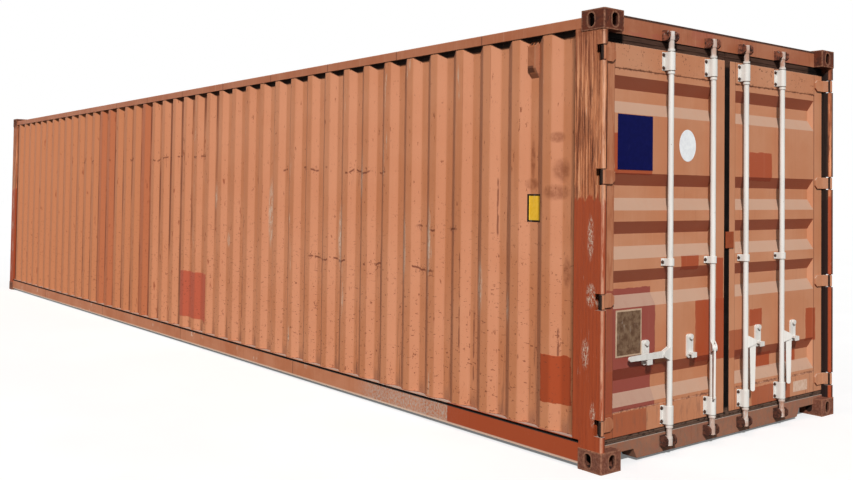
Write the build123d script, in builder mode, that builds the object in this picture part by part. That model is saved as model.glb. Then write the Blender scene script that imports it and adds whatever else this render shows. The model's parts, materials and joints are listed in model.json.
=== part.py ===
"""Forty foot steel freight container with a pair of hinged doors, in millimetres.

X runs along the box with the doors at +X, Y across it, Z up.
The origin lies on the ground in the middle of the four bottom castings.
"""

import os
from math import asin, cos, radians, sin

from build123d import *

# Overall box
length = 12192
width = 2438
height = 2591

# Corner castings
casting_length = 178
casting_width = 162
casting_height = 118
casting_plate = 28
casting_wall = 20
casting_back = 12
casting_round = 12
twist_slot_length = 124.5
twist_slot_width = 63.5
twist_slot_from_end = 103.5
twist_slot_from_side = 89.5
lash_hole_height = 79.5
lash_hole_width = 51

# Corner posts
post_inset = 4
post_plate = 6
post_round = 12
jamb = 50
jamb_face = 34
jamb_slant = 40
jamb_depth = 124
rear_post_depth = 226
front_post_depth = 200
front_post_width = 184

# Rails and end frames
rail_inset = 10
top_rail_size = 60
top_rail_drop = 98
bottom_rail_bottom = 25
bottom_rail_web = 116
bottom_rail_flange = 55
bottom_rail_plate = 5
rail_slot = 16
rail_slot_depth = 30
end_frame_face = 66
header_drop = 8
header_lip = 2
sill_bottom = 20
sill_top = 133
sill_notch_length = 184
sill_notch_level = 78
sill_notch_slant = 30
threshold_start = 116

# Corrugated sheets
sheet = 2
wall_inset = 16
side_pitch = 278
side_shift = -60
side_crest = 72
side_slope = 68
side_depth = 36
front_pitch = 250
front_crest = 104
front_slope = 18
front_depth = 45
roof_pitch = 209
roof_ridge_base = 146
roof_ridge_slope = 27
roof_ridge_height = 20
roof_edge_inset = 12
roof_edge_strip = 90

# Floor and underframe
floor_thickness = 28
floor_edge = 72
floor_joint = 3
floor_rows = 5
cross_member_flange = 45
cross_member_plate = 4
cross_member_pitch = 420
tunnel_length = 3150
tunnel_width = 1029
tunnel_plate = 10

# Door leaves
door_face = 65
leaf_depth = 50
leaf_edge = 62
left_leaf_seam = 9
right_leaf_seam = 46
leaf_gap = 34
leaf_top_gap = 55
hinge_stile = 100
window_inner = 108
leaf_bottom_rail = 142
leaf_top_rail = 143
panel_recess = 3
rib_low_margin = 133
rib_high_margin = 150
rib_steps = (0, 2, 3, 4, 6)
rib_height = 216
rib_slope = 72
rib_depth = 36
rib_end_margin = 2
rib_end_slope = 22
gasket_edge = 56
gasket_seam = 5
gasket_gap = 5
gasket_face = 72
gasket_depth = 40

# Hinges
pin_inset = 22
pin_radius = 10
pin_fit = 0.2
knuckle_radius = 15
knuckle_play = 0.5
hinge_margin = 250
hinge_count = 4
hinge_height = 80
hinge_gap = 6
hinge_web = 14
hinge_pad = 12
hinge_pad_start = 58
hinge_pad_end = 158
hinge_pad_taper = 24
hinge_pad_tip = 40
lug_plate = 14
lug_depth = 46
notch_depth = 75
side_notch_depth = 62
pin_head_radius = 11.5
pin_head = 5

# Lock bars
bar_inset = 29
bar_radius = 17
bar_outer = 595
bar_inner = 177
bar_bottom = 58
bar_top_drop = 57
collar_radius = 22
collar_height = 14
cam_radius = 26
cam_hub = 20
cam_tip = 9
cam_height = 52
keeper_half = 46
keeper_cheek = 12
keeper_corner = 16
keeper_height = 62
keeper_base = 6
keeper_reach = 54

# Bar guides
guide_plate = 6
guide_half = 44
guide_play = 1
guide_height = 111
guide_bottom = 185
guide_top_drop = 187
middle_guide = 1124
middle_guide_height = 44
guide_foot = 4

# Handles, their hubs and catches
handle_level = 605
handle_pivot = 46
handle_length = 320
handle_root = 20
handle_tip = 14
handle_plate = 12
hub_plate = 8
hub_play = 1
hub_height = 77
hub_boss = 22
hub_start = 12
rivet_radius = 8
rivet_play = 0.5
catch_reach = 185
catch_half = 22
catch_base_half = 30
catch_plate = 8
catch_bottom = 553
catch_top = 696
catch_play = 0.4
catch_shelf = 12
catch_lip = 30
hasp_radius = 16
hasp_boss = 14

# Small fittings
vent_width = 80
vent_drop = 121
vent_height = 223
vent_wall_gap = 2
vent_hood_drop = 60
overlap_start = 3
overlap_end = 85
overlap_bottom = 1210
overlap_top = 1316
overlap_plate_thickness = 8

end_x = length / 2
side_y = width / 2
top_rail_bottom = height - top_rail_drop
top_rail_top = top_rail_bottom + top_rail_size
rail_web_top = bottom_rail_bottom + bottom_rail_web
bottom_rail_top = rail_web_top + rail_slot + bottom_rail_plate
floor_underside = rail_web_top - bottom_rail_plate
floor_top = floor_underside + floor_thickness
header_bottom = height - casting_height - header_lip
header_top = height - header_drop
door_bottom = sill_top + leaf_gap
door_top = header_bottom - leaf_top_gap
gasket_bottom = sill_top + gasket_gap
gasket_top = header_bottom - gasket_gap
bar_x = end_x - bar_inset
bar_top = height - bar_top_drop
vent_top = height - vent_drop
guide_top = height - guide_top_drop
guide_levels = (
    (guide_bottom, guide_bottom + guide_height),
    (middle_guide, middle_guide + middle_guide_height),
    (guide_top - guide_height, guide_top),
)
hinge_step = (height - 2 * hinge_margin) / (hinge_count - 1)
hinge_heights = [hinge_margin + step * hinge_step for step in range(hinge_count)]

# Bar number: place across the doors, direction its handle points, turn outwards at rest
bars = {
    1: (-bar_outer, -1, 0),
    2: (-bar_inner, -1, 50),
    3: (bar_inner, 1, 38),
    4: (bar_outer, 1, 38),
}
doors = {"left": (-1, (1, 2)), "right": (1, (3, 4))}
ends = (-1, 1)
sides = (-1, 1)

os.makedirs("parts", exist_ok=True)


def save(builder, name):
    """Label a finished piece and write it to its file."""
    builder.part.label = name
    export_step(builder.part, f"parts/{name}.step")


def block(low, high, mode=Mode.ADD):
    """Box between two opposite corners."""
    middle = tuple((a + b) / 2 for a, b in zip(low, high))
    size = [abs(b - a) for a, b in zip(low, high)]
    with Locations(middle):
        Box(*size, mode=mode)


def corner_block(end, side, inward_x, inward_y, z_range, mode=Mode.ADD):
    """Box given by its distances in from an end face and from a side face."""
    low = (end * (end_x - inward_x[0]), side * (side_y - inward_y[0]), z_range[0])
    high = (end * (end_x - inward_x[1]), side * (side_y - inward_y[1]), z_range[1])
    block(low, high, mode)


def corner_rectangle(end, side, inward_x, inward_y, mode=Mode.ADD):
    """Plan rectangle given by its distances in from an end face and from a side face."""
    xs = [end * (end_x - inward) for inward in inward_x]
    ys = [side * (side_y - inward) for inward in inward_y]
    with Locations((sum(xs) / 2, sum(ys) / 2)):
        Rectangle(abs(xs[1] - xs[0]), abs(ys[1] - ys[0]), mode=mode)


def door_plane(inward):
    """Upright plane across the box at a distance in from the door end."""
    return Plane.YZ.offset(end_x - inward)


def door_rectangle(side, outer, inner, bottom, top, mode=Mode.ADD):
    """Upright rectangle of one door: outer is measured in from the side, inner from the seam."""
    ys = (side * (side_y - outer), side * inner)
    with Locations((sum(ys) / 2, (bottom + top) / 2)):
        Rectangle(abs(ys[1] - ys[0]), top - bottom, mode=mode)


def tapered_bar(plane, base, slope, depth, run):
    """Bar along a plane's normal whose section narrows from its base by a slope on each side."""
    with BuildPart() as bar:
        with BuildSketch(plane):
            with BuildLine():
                Polyline(
                    (-base / 2, 0),
                    (base / 2, 0),
                    (base / 2 - slope, depth),
                    (slope - base / 2, depth),
                    close=True,
                )
            make_face()
        extrude(amount=run / 2, both=True)
    return bar.part


def pressing(length, length_slope, width, width_slope, depth):
    """Pressed shape standing on the ground plane: a rectangle drawn in on every side as it rises."""
    with BuildPart() as pressed:
        add(tapered_bar(Plane.XZ, length, length_slope, depth, width))
        add(tapered_bar(Plane.YZ, width, width_slope, depth, length), mode=Mode.INTERSECT)
    return pressed.part


def corrugation(run, pitch, crest, slope, depth, shift=0):
    """Closed outline of a corrugated sheet, from -run/2 to run/2, crests at 0, troughs at depth."""
    count = int((run - slope) // pitch)
    line = [(-run / 2, depth)]
    for step in range(count):
        middle = (step - (count - 1) / 2) * pitch + shift
        line += [
            (middle - crest / 2 - slope, depth),
            (middle - crest / 2, 0),
            (middle + crest / 2, 0),
            (middle + crest / 2 + slope, depth),
        ]
    line.append((run / 2, depth))
    return line + [(along, inward + sheet) for along, inward in reversed(line)]


# Corner castings: hollow blocks with a slot for a twist lock and holes for lashing


def corner_casting(end, side, top):
    base = height - casting_height if top else 0
    outer_face = height if top else 0
    inward = -1 if top else 1
    with BuildSketch(Plane.XY.offset(base)) as body:
        middle = (
            end * (end_x - casting_length / 2),
            side * (side_y - casting_width / 2),
        )
        with Locations(middle):
            Rectangle(casting_length, casting_width)
        outer_corner = body.vertices().sort_by_distance((end * end_x, side * side_y, base))[0]
        fillet(outer_corner, casting_round)
    extrude(body.sketch, amount=casting_height)
    cavity = sorted(
        (
            outer_face + inward * casting_plate,
            outer_face + inward * (casting_height - casting_back),
        )
    )
    corner_block(
        end,
        side,
        (casting_wall, casting_length - casting_back),
        (casting_wall, casting_width - casting_back),
        cavity,
        Mode.SUBTRACT,
    )
    slot_middle = (
        end * (end_x - twist_slot_from_end),
        side * (side_y - twist_slot_from_side),
    )
    middle_height = base + casting_height / 2
    with BuildSketch(Plane.XY.offset(outer_face)) as twist_slot:
        with Locations(slot_middle):
            SlotOverall(twist_slot_length, twist_slot_width)
    extrude(twist_slot.sketch, amount=inward * casting_plate, mode=Mode.SUBTRACT)
    with BuildSketch(Plane.YZ.offset(end * end_x)) as end_hole:
        with Locations((slot_middle[1], middle_height)):
            SlotOverall(lash_hole_height, lash_hole_width, rotation=90)
    extrude(end_hole.sketch, amount=-end * casting_wall, mode=Mode.SUBTRACT)
    with BuildSketch(Plane.XZ.offset(-side * side_y)) as side_hole:
        with Locations((slot_middle[0], middle_height)):
            SlotOverall(lash_hole_height, lash_hole_width, rotation=90)
    extrude(side_hole.sketch, amount=side * casting_wall, mode=Mode.SUBTRACT)


for level in ("top", "bottom"):
    with BuildPart() as corner_castings:
        for end in ends:
            for side in sides:
                corner_casting(end, side, level == "top")
    save(corner_castings, f"{level}_corner_castings")

# Rear corner posts: a folded box with a long side plate, notched at each hinge
post_skin = post_inset + post_plate
notch_half = hinge_height / 2 + hinge_gap
wall_trough = wall_inset + side_depth + sheet


def post_outline(side):
    """Plan outline of the folded box, which slants back from its front face to the door."""
    corners = [
        (post_inset, post_inset),
        (post_inset, jamb_face),
        (jamb_slant, jamb),
        (jamb_depth, jamb),
        (jamb_depth, post_inset),
    ]
    Polygon(*[(end_x - inward, side * (side_y - across)) for inward, across in corners], align=None)


for name, (side, _) in doors.items():
    with BuildPart() as rear_post:
        with BuildSketch(Plane.XY.offset(casting_height)):
            post_outline(side)
            offset(amount=-post_plate, mode=Mode.SUBTRACT)
            corner_rectangle(1, side, (jamb_depth, casting_length), (post_inset, post_skin))
        extrude(amount=height - 2 * casting_height)
        with BuildSketch(Plane.XY.offset(bottom_rail_top)):
            corner_rectangle(
                1, side, (casting_length, rear_post_depth), (post_inset, post_skin)
            )
            corner_rectangle(
                1, side, (rear_post_depth - post_plate, rear_post_depth), (post_inset, wall_trough)
            )
        extrude(amount=top_rail_bottom - bottom_rail_top)
        outer_corner = (end_x - post_inset, side * (side_y - post_inset), height / 2)
        fillet(
            rear_post.edges().filter_by(Axis.Z).sort_by_distance(outer_corner)[0],
            post_round,
        )
        for hinge in hinge_heights:
            notch = (hinge - notch_half, hinge + notch_half)
            corner_block(1, side, (0, notch_depth), (post_skin, jamb), notch, Mode.SUBTRACT)
            corner_block(1, side, (0, side_notch_depth), (0, post_skin), notch, Mode.SUBTRACT)
    save(rear_post, f"rear_corner_post_{name}")

# Hinge lugs: plates that close each notch above and below and hold its pin
with BuildPart() as hinge_lugs:
    for side in sides:
        for hinge in hinge_heights:
            for level in (hinge - notch_half - lug_plate, hinge + notch_half):
                with BuildSketch(Plane.XY.offset(level)):
                    post_outline(side)
                    offset(amount=-post_plate, mode=Mode.REPLACE)
                    corner_rectangle(
                        1, side, (post_skin, post_skin + lug_depth), (post_skin, jamb), Mode.INTERSECT
                    )
                    with Locations((end_x - pin_inset, side * (side_y - pin_inset))):
                        Circle(pin_radius + pin_fit, mode=Mode.SUBTRACT)
                extrude(amount=lug_plate)
save(hinge_lugs, "hinge_lugs")

with BuildPart() as hinge_pins:
    for side in sides:
        for hinge in hinge_heights:
            pin_half = notch_half + lug_plate
            with BuildSketch(Plane.XY.offset(hinge - pin_half)):
                with Locations((end_x - pin_inset, side * (side_y - pin_inset))):
                    Circle(pin_radius)
            extrude(amount=2 * pin_half)
            with BuildSketch(Plane.XY.offset(hinge + pin_half)):
                with Locations((end_x - pin_inset, side * (side_y - pin_inset))):
                    Circle(pin_head_radius)
            extrude(amount=pin_head)
save(hinge_pins, "hinge_pins")

# Front corner posts: folded plates that carry the side walls and the front wall
front_trough = wall_inset + front_depth + sheet

with BuildPart() as front_posts:
    for side in sides:
        with BuildSketch(Plane.XY.offset(casting_height)):
            corner_rectangle(-1, side, (post_inset, casting_length), (post_inset, post_skin))
            corner_rectangle(-1, side, (post_inset, post_skin), (post_inset, casting_width))
        extrude(amount=height - 2 * casting_height)
        with BuildSketch(Plane.XY.offset(bottom_rail_top)):
            corner_rectangle(
                -1, side, (casting_length, front_post_depth), (post_inset, post_skin)
            )
            corner_rectangle(
                -1, side, (front_post_depth - post_plate, front_post_depth), (post_inset, wall_trough)
            )
            corner_rectangle(
                -1, side, (post_inset, post_skin), (casting_width, front_post_width)
            )
            corner_rectangle(
                -1, side, (post_inset, front_trough), (front_post_width - post_plate, front_post_width)
            )
        extrude(amount=top_rail_bottom - bottom_rail_top)
        outer_corner = (-end_x + post_inset, side * (side_y - post_inset), height / 2)
        fillet(
            front_posts.edges().filter_by(Axis.Z).sort_by_distance(outer_corner)[0],
            post_round,
        )
save(front_posts, "front_corner_posts")

# Side rails between the castings
rail_end = end_x - casting_length

with BuildPart() as top_side_rails:
    for side in sides:
        outer = side * (side_y - rail_inset)
        inner = side * (side_y - rail_inset - top_rail_size)
        block((-rail_end, outer, top_rail_bottom), (rail_end, inner, top_rail_top))
save(top_side_rails, "top_side_rails")

with BuildPart() as bottom_side_rails:
    for side in sides:
        outer = side * (side_y - rail_inset)
        web = side * (side_y - rail_inset - bottom_rail_plate)
        inner = side * (side_y - rail_inset - bottom_rail_flange)
        slot_back = side * (side_y - rail_inset - rail_slot_depth)
        riser = slot_back - side * bottom_rail_plate
        ledge = bottom_rail_top - bottom_rail_plate
        lower_flange = bottom_rail_bottom + bottom_rail_plate
        block((-rail_end, outer, bottom_rail_bottom), (rail_end, web, rail_web_top))
        block((-rail_end, outer, bottom_rail_bottom), (rail_end, inner, lower_flange))
        block((-rail_end, outer, floor_underside), (rail_end, riser, rail_web_top))
        block((-rail_end, slot_back, floor_underside), (rail_end, riser, bottom_rail_top))
        block((-rail_end, outer, ledge), (rail_end, inner, bottom_rail_top))
save(bottom_side_rails, "bottom_side_rails")

# Door end frame: header over the doors, sill under them
end_frame_half = side_y - casting_width

with BuildPart() as header:
    with BuildSketch(door_plane(casting_length)):
        with Locations((0, (header_bottom + header_top) / 2)):
            Rectangle(2 * end_frame_half, header_top - header_bottom)
    extrude(amount=casting_length - end_frame_face)
save(header, "door_header")

with BuildPart() as sill:
    with BuildSketch(door_plane(casting_length)):
        notch_end = end_frame_half - sill_notch_length
        outline = [
            (notch_end - sill_notch_slant, sill_bottom),
            (notch_end, sill_notch_level),
            (end_frame_half, sill_notch_level),
            (end_frame_half, casting_height),
            (side_y - jamb, casting_height),
            (side_y - jamb, sill_top),
        ]
        mirrored = [(-across, level) for across, level in reversed(outline)]
        Polygon(*outline, *mirrored, align=None)
    extrude(amount=casting_length - end_frame_face)
    with BuildSketch(Plane.XZ):
        Polygon(
            (end_x - threshold_start, sill_top),
            (end_x - casting_length, sill_top),
            (end_x - casting_length, floor_top),
            align=None,
        )
    extrude(amount=end_frame_half, both=True)
save(sill, "door_sill")

# Front end frame, with the cut for the gooseneck tunnel in its lower rail
with BuildPart() as front_top_rail:
    block(
        (-end_x + rail_inset, -end_frame_half, top_rail_bottom),
        (-end_x + rail_inset + top_rail_size, end_frame_half, top_rail_top),
    )
save(front_top_rail, "front_top_rail")

tunnel_roof = floor_underside - tunnel_plate

with BuildPart() as front_bottom_rail:
    block(
        (-end_x + rail_inset, -end_frame_half, bottom_rail_bottom),
        (-end_x + rail_inset + top_rail_size, end_frame_half, bottom_rail_top),
    )
    block(
        (-end_x, -tunnel_width / 2, 0),
        (-end_x + casting_length, tunnel_width / 2, tunnel_roof),
        Mode.SUBTRACT,
    )
save(front_bottom_rail, "front_bottom_rail")

# Corrugated walls
side_run = 2 * end_x - rear_post_depth - front_post_depth
side_middle = (front_post_depth - rear_post_depth) / 2

for name, (side, _) in doors.items():
    with BuildPart() as side_wall:
        with BuildSketch(Plane.XY.offset(bottom_rail_top)):
            outline = corrugation(
                side_run, side_pitch, side_crest, side_slope, side_depth, side_shift
            )
            face = side_y - wall_inset
            Polygon(
                *[(along + side_middle, side * (face - inward)) for along, inward in outline],
                align=None,
            )
        extrude(amount=top_rail_bottom - bottom_rail_top)
    save(side_wall, f"side_wall_{name}")

front_run = 2 * (side_y - front_post_width)

with BuildPart() as front_wall:
    with BuildSketch(Plane.XY.offset(bottom_rail_top)):
        outline = corrugation(front_run, front_pitch, front_crest, front_slope, front_depth)
        face = -end_x + wall_inset
        Polygon(*[(face + inward, along) for along, inward in outline], align=None)
    extrude(amount=top_rail_bottom - bottom_rail_top)
save(front_wall, "front_wall")

# Roof sheet with pressed cross ridges
roof_start = -end_x + casting_length
roof_end = end_x - casting_length
roof_half = side_y - roof_edge_inset
ridge_count = int((roof_end - roof_start) // roof_pitch)
ridge_length = 2 * (roof_half - roof_edge_strip)


ridge = pressing(
    roof_ridge_base, roof_ridge_slope, ridge_length, roof_ridge_slope, roof_ridge_height
)


def ridge_places(level):
    steps = [(step - (ridge_count - 1) / 2) * roof_pitch for step in range(ridge_count)]
    return Locations(*[(along, 0, level) for along in steps])


with BuildPart() as roof:
    block((roof_start, -roof_half, top_rail_top), (roof_end, roof_half, top_rail_top + sheet))
    block(
        (-end_x + roof_edge_inset, -end_frame_half, top_rail_top),
        (roof_start, end_frame_half, top_rail_top + sheet),
    )
    with ridge_places(top_rail_top + sheet):
        add(ridge)
    with ridge_places(top_rail_top):
        add(ridge, mode=Mode.SUBTRACT)
save(roof, "roof_panel")

# Plywood floor in long boards
floor_start = -end_x + rail_inset + top_rail_size
floor_stop = end_x - casting_length
floor_half = side_y - floor_edge
board_length = (floor_stop - floor_start - (floor_rows - 1) * floor_joint) / floor_rows

with BuildPart() as floor:
    for row in range(floor_rows):
        start = floor_start + row * (board_length + floor_joint)
        for side in sides:
            block(
                (start, side * floor_joint / 2, floor_underside),
                (start + board_length, side * floor_half, floor_top),
            )
save(floor, "floor_boards")

# Cross members: channels under the floor, cut short beside the gooseneck tunnel
member_bottom = bottom_rail_bottom + bottom_rail_plate
member_half = side_y - rail_inset - bottom_rail_plate
tunnel_end = -end_x + tunnel_length
member_space = floor_stop - tunnel_end
member_count = int(member_space // cross_member_pitch)
outrigger_count = int((tunnel_length - casting_length) // cross_member_pitch)


def channel(x, start, stop):
    """Cross channel with its web at x and flanges towards +X, running across the box."""
    lip = x + cross_member_flange
    upper = floor_underside - cross_member_plate
    block((x, start, member_bottom), (x + cross_member_plate, stop, floor_underside))
    block((x, start, member_bottom), (lip, stop, member_bottom + cross_member_plate))
    block((x, start, upper), (lip, stop, floor_underside))


with BuildPart() as cross_members:
    for step in range(member_count):
        channel(
            tunnel_end + (step + 0.5) * member_space / member_count,
            -member_half,
            member_half,
        )
save(cross_members, "cross_members")

for name, (side, _) in doors.items():
    with BuildPart() as outriggers:
        for step in range(outrigger_count):
            channel(
                -end_x + casting_length + step * cross_member_pitch,
                side * (tunnel_width / 2 + tunnel_plate),
                side * member_half,
            )
    save(outriggers, f"tunnel_outriggers_{name}")

with BuildPart() as tunnel:
    tunnel_start = -end_x + rail_inset + top_rail_size
    outer_half = tunnel_width / 2 + tunnel_plate
    block((tunnel_start, -outer_half, tunnel_roof), (tunnel_end, outer_half, floor_underside))
    for side in sides:
        block(
            (tunnel_start, side * tunnel_width / 2, member_bottom),
            (tunnel_end, side * outer_half, floor_underside),
        )
save(tunnel, "gooseneck_tunnel")

# Ventilators: hooded boxes in the first wall trough beside the right-hand post of each side
wall_crests = int((side_run - side_slope) // side_pitch)
vent_x = (wall_crests - 2) / 2 * side_pitch

with BuildPart() as ventilators:
    for side in sides:
        x = side_middle + side_shift - side * vent_x
        wall_face = side * (side_y - wall_inset - side_depth)
        hood_face = side * (side_y - wall_inset - vent_wall_gap)
        profile = [
            (wall_face, vent_top),
            (hood_face, vent_top - (side_depth - vent_wall_gap)),
            (hood_face, vent_top - vent_height + vent_hood_drop),
            (wall_face, vent_top - vent_height),
        ]
        with BuildSketch(Plane.YZ.offset(x)):
            Polygon(*profile, align=None)
        extrude(amount=vent_width / 2 - vent_wall_gap * 3, both=True)
save(ventilators, "ventilators")

# Cam keepers on the header and the sill: cheeks with clipped corners, open outwards
keeper_levels = (bar_bottom, bar_top - keeper_height)

with BuildPart() as keeper:
    tip = keeper_base + keeper_reach
    cheek = keeper_half - keeper_cheek
    block((0, -keeper_half, 0), (tip, keeper_half, keeper_height))
    chamfer(keeper.edges().filter_by(Axis.Y).group_by(Axis.X)[-1], keeper_corner)
    block((keeper_base, -cheek, 0), (tip, cheek, keeper_height), Mode.SUBTRACT)

with BuildPart() as cam_keepers:
    for place, _, _ in bars.values():
        for level in keeper_levels:
            with Locations((end_x - end_frame_face, place, level)):
                add(keeper.part)
save(cam_keepers, "cam_keepers")

# Door leaves
window_bottom = door_bottom + leaf_bottom_rail
window_top = door_top - leaf_top_rail
window_outer = leaf_edge + hinge_stile
leaf_seams = {"left": left_leaf_seam, "right": right_leaf_seam}
panel_face = door_face + panel_recess
rib_length = side_y - window_outer - window_inner - 2 * rib_end_margin
rib_first = window_bottom + rib_low_margin
rib_pitch = (window_top - rib_high_margin - rib_first) / max(rib_steps)


rib = pressing(rib_length, rib_end_slope, rib_height, rib_slope, rib_depth)


def rib_places(side, inward):
    """Places of the ribs of one door panel, which are pressed into the box from a plane."""
    inside = Plane(origin=(end_x - inward, 0, 0), x_dir=(0, -1, 0), z_dir=(-1, 0, 0))
    middle = -side * (side_y - window_outer + window_inner) / 2
    levels = [rib_first + step * rib_pitch for step in rib_steps]
    return Locations(*[inside.location * Location((middle, level, 0)) for level in levels])


def hinge_blade(side, hinge):
    """Knuckle on its pin, a web out of the notch and a tapered pad on the door face."""
    pin = (end_x - pin_inset, side * (side_y - pin_inset))
    root = (end_x - (door_face - hinge_pad / 2), side * (side_y - (hinge_pad_start + leaf_edge) / 2))
    along = Vector(*root) - Vector(*pin)
    half = Vector(-along.Y, along.X).normalized() * hinge_web / 2
    with BuildSketch(Plane.XY.offset(hinge - hinge_height / 2)) as web:
        with Locations(pin):
            Circle(knuckle_radius)
        corners = [
            Vector(*pin) + half,
            Vector(*root) + half,
            Vector(*root) - half,
            Vector(*pin) - half,
        ]
        Polygon(*[(corner.X, corner.Y) for corner in corners], align=None)
        with Locations(pin):
            Circle(pin_radius + knuckle_play, mode=Mode.SUBTRACT)
    extrude(web.sketch, amount=hinge_height)
    with BuildSketch(door_plane(door_face)) as pad:
        start = side * (side_y - hinge_pad_start)
        stop = side * (side_y - hinge_pad_end)
        shoulder = side * (side_y - hinge_pad_end + hinge_pad_taper)
        Polygon(
            (start, hinge + hinge_height / 2),
            (shoulder, hinge + hinge_height / 2),
            (stop, hinge + hinge_pad_tip / 2),
            (stop, hinge - hinge_pad_tip / 2),
            (shoulder, hinge - hinge_height / 2),
            (start, hinge - hinge_height / 2),
            align=None,
        )
    extrude(pad.sketch, amount=hinge_pad)


def bar_guide(place, bottom, top):
    """Hat bracket round a lock bar, with two feet on the door face."""
    hat = bar_radius + guide_play + guide_plate
    bore = bar_radius + guide_play
    stand = door_face - bar_inset
    with BuildSketch(Plane.XY.offset(bottom)) as section:
        with Locations((bar_x, place)):
            Circle(hat)
        with Locations((bar_x - stand / 2, place)):
            Rectangle(stand, 2 * hat)
        with Locations((bar_x - stand + guide_foot / 2, place)):
            Rectangle(guide_foot, 2 * guide_half)
        with Locations((bar_x, place)):
            Circle(bore, mode=Mode.SUBTRACT)
        with Locations((bar_x - stand / 2, place)):
            Rectangle(stand, 2 * bore, mode=Mode.SUBTRACT)
    extrude(section.sketch, amount=top - bottom)


handle_span = handle_length - handle_tip
handle_taper = asin((handle_root - handle_tip) / handle_span)


def handle_half_width(reach):
    """Half width of a handle at a distance from its rivet."""
    return (handle_root - reach * sin(handle_taper)) / cos(handle_taper)


shelf_top = handle_level - handle_half_width(catch_reach - handle_pivot - catch_half) - catch_play
shelf_reach = door_face - bar_inset + handle_plate / 2


def handle_catch(place):
    """Plate on the door with a shelf under the handle and the boss of a hasp above it."""
    face = end_x - door_face
    with BuildSketch(door_plane(panel_face)) as base:
        with Locations((place, (catch_bottom + catch_top) / 2)):
            RectangleRounded(2 * catch_base_half, catch_top - catch_bottom, hasp_radius)
    extrude(base.sketch, amount=panel_recess + catch_plate)
    block(
        (face, place - catch_half, shelf_top - catch_shelf),
        (face + shelf_reach, place + catch_half, shelf_top),
    )
    block(
        (face + shelf_reach - catch_plate, place - catch_half, shelf_top - catch_lip),
        (face + shelf_reach, place + catch_half, shelf_top),
    )
    with BuildSketch(door_plane(door_face - catch_plate)) as boss:
        with Locations((place, catch_top - hasp_radius)):
            Circle(hasp_radius)
    extrude(boss.sketch, amount=hasp_boss)


for name, (side, door_bars) in doors.items():
    with BuildPart() as door_frame:
        with BuildSketch(door_plane(door_face + leaf_depth)):
            door_rectangle(side, leaf_edge, leaf_seams[name], door_bottom, door_top)
            door_rectangle(
                side, window_outer, window_inner, window_bottom, window_top, Mode.SUBTRACT
            )
        extrude(amount=leaf_depth)
    save(door_frame, f"{name}_door_frame")

    with BuildPart() as door_panel:
        with BuildSketch(door_plane(panel_face + sheet)):
            door_rectangle(side, window_outer, window_inner, window_bottom, window_top)
        extrude(amount=sheet)
        with rib_places(side, panel_face + sheet):
            add(rib)
        with rib_places(side, panel_face):
            add(rib, mode=Mode.SUBTRACT)
    save(door_panel, f"{name}_door_panel")

    with BuildPart() as door_gasket:
        with BuildSketch(door_plane(gasket_face + gasket_depth)):
            door_rectangle(side, gasket_edge, gasket_seam, gasket_bottom, gasket_top)
            door_rectangle(
                side, leaf_edge, leaf_seams[name], door_bottom, door_top, Mode.SUBTRACT
            )
        extrude(amount=gasket_depth)
    save(door_gasket, f"{name}_door_gasket")

    with BuildPart() as hinge_blades:
        for hinge in hinge_heights:
            hinge_blade(side, hinge)
    save(hinge_blades, f"{name}_hinge_blades")

    with BuildPart() as bar_guides:
        for number in door_bars:
            for bottom, top in guide_levels:
                bar_guide(bars[number][0], bottom, top)
    save(bar_guides, f"{name}_bar_guides")

    with BuildPart() as handle_catches:
        for number in door_bars:
            place, direction, _ = bars[number]
            handle_catch(place + direction * catch_reach)
    save(handle_catches, f"{name}_handle_catches")

with BuildPart() as overlap_plate:
    block(
        (end_x - door_face, overlap_start, overlap_bottom),
        (end_x - door_face + overlap_plate_thickness, overlap_end, overlap_top),
    )
save(overlap_plate, "overlap_plate")


# Lock bars with their cams, collars and handle hubs, and the handles riveted to the hubs


def gear_plane(number, offset):
    """Plane of a bar's handle, turned with the bar: local X along the handle, local Y up."""
    place, direction, turn = bars[number]
    angle = radians(turn)
    along = Vector(sin(angle), direction * cos(angle), 0)
    outward = Vector(cos(angle), -direction * sin(angle), 0)
    origin = Vector(bar_x, place, handle_level) + outward * offset
    return Plane(origin=origin, x_dir=along, z_dir=outward * direction)


collar_levels = (
    guide_levels[0][0] - collar_height - hinge_gap,
    guide_levels[-1][0] - collar_height - hinge_gap,
    guide_levels[-1][1] + hinge_gap,
)
cam_levels = [level + (keeper_height - cam_height) / 2 for level in keeper_levels]
hub_offset = handle_plate / 2 + hub_play + hub_plate / 2

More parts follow.
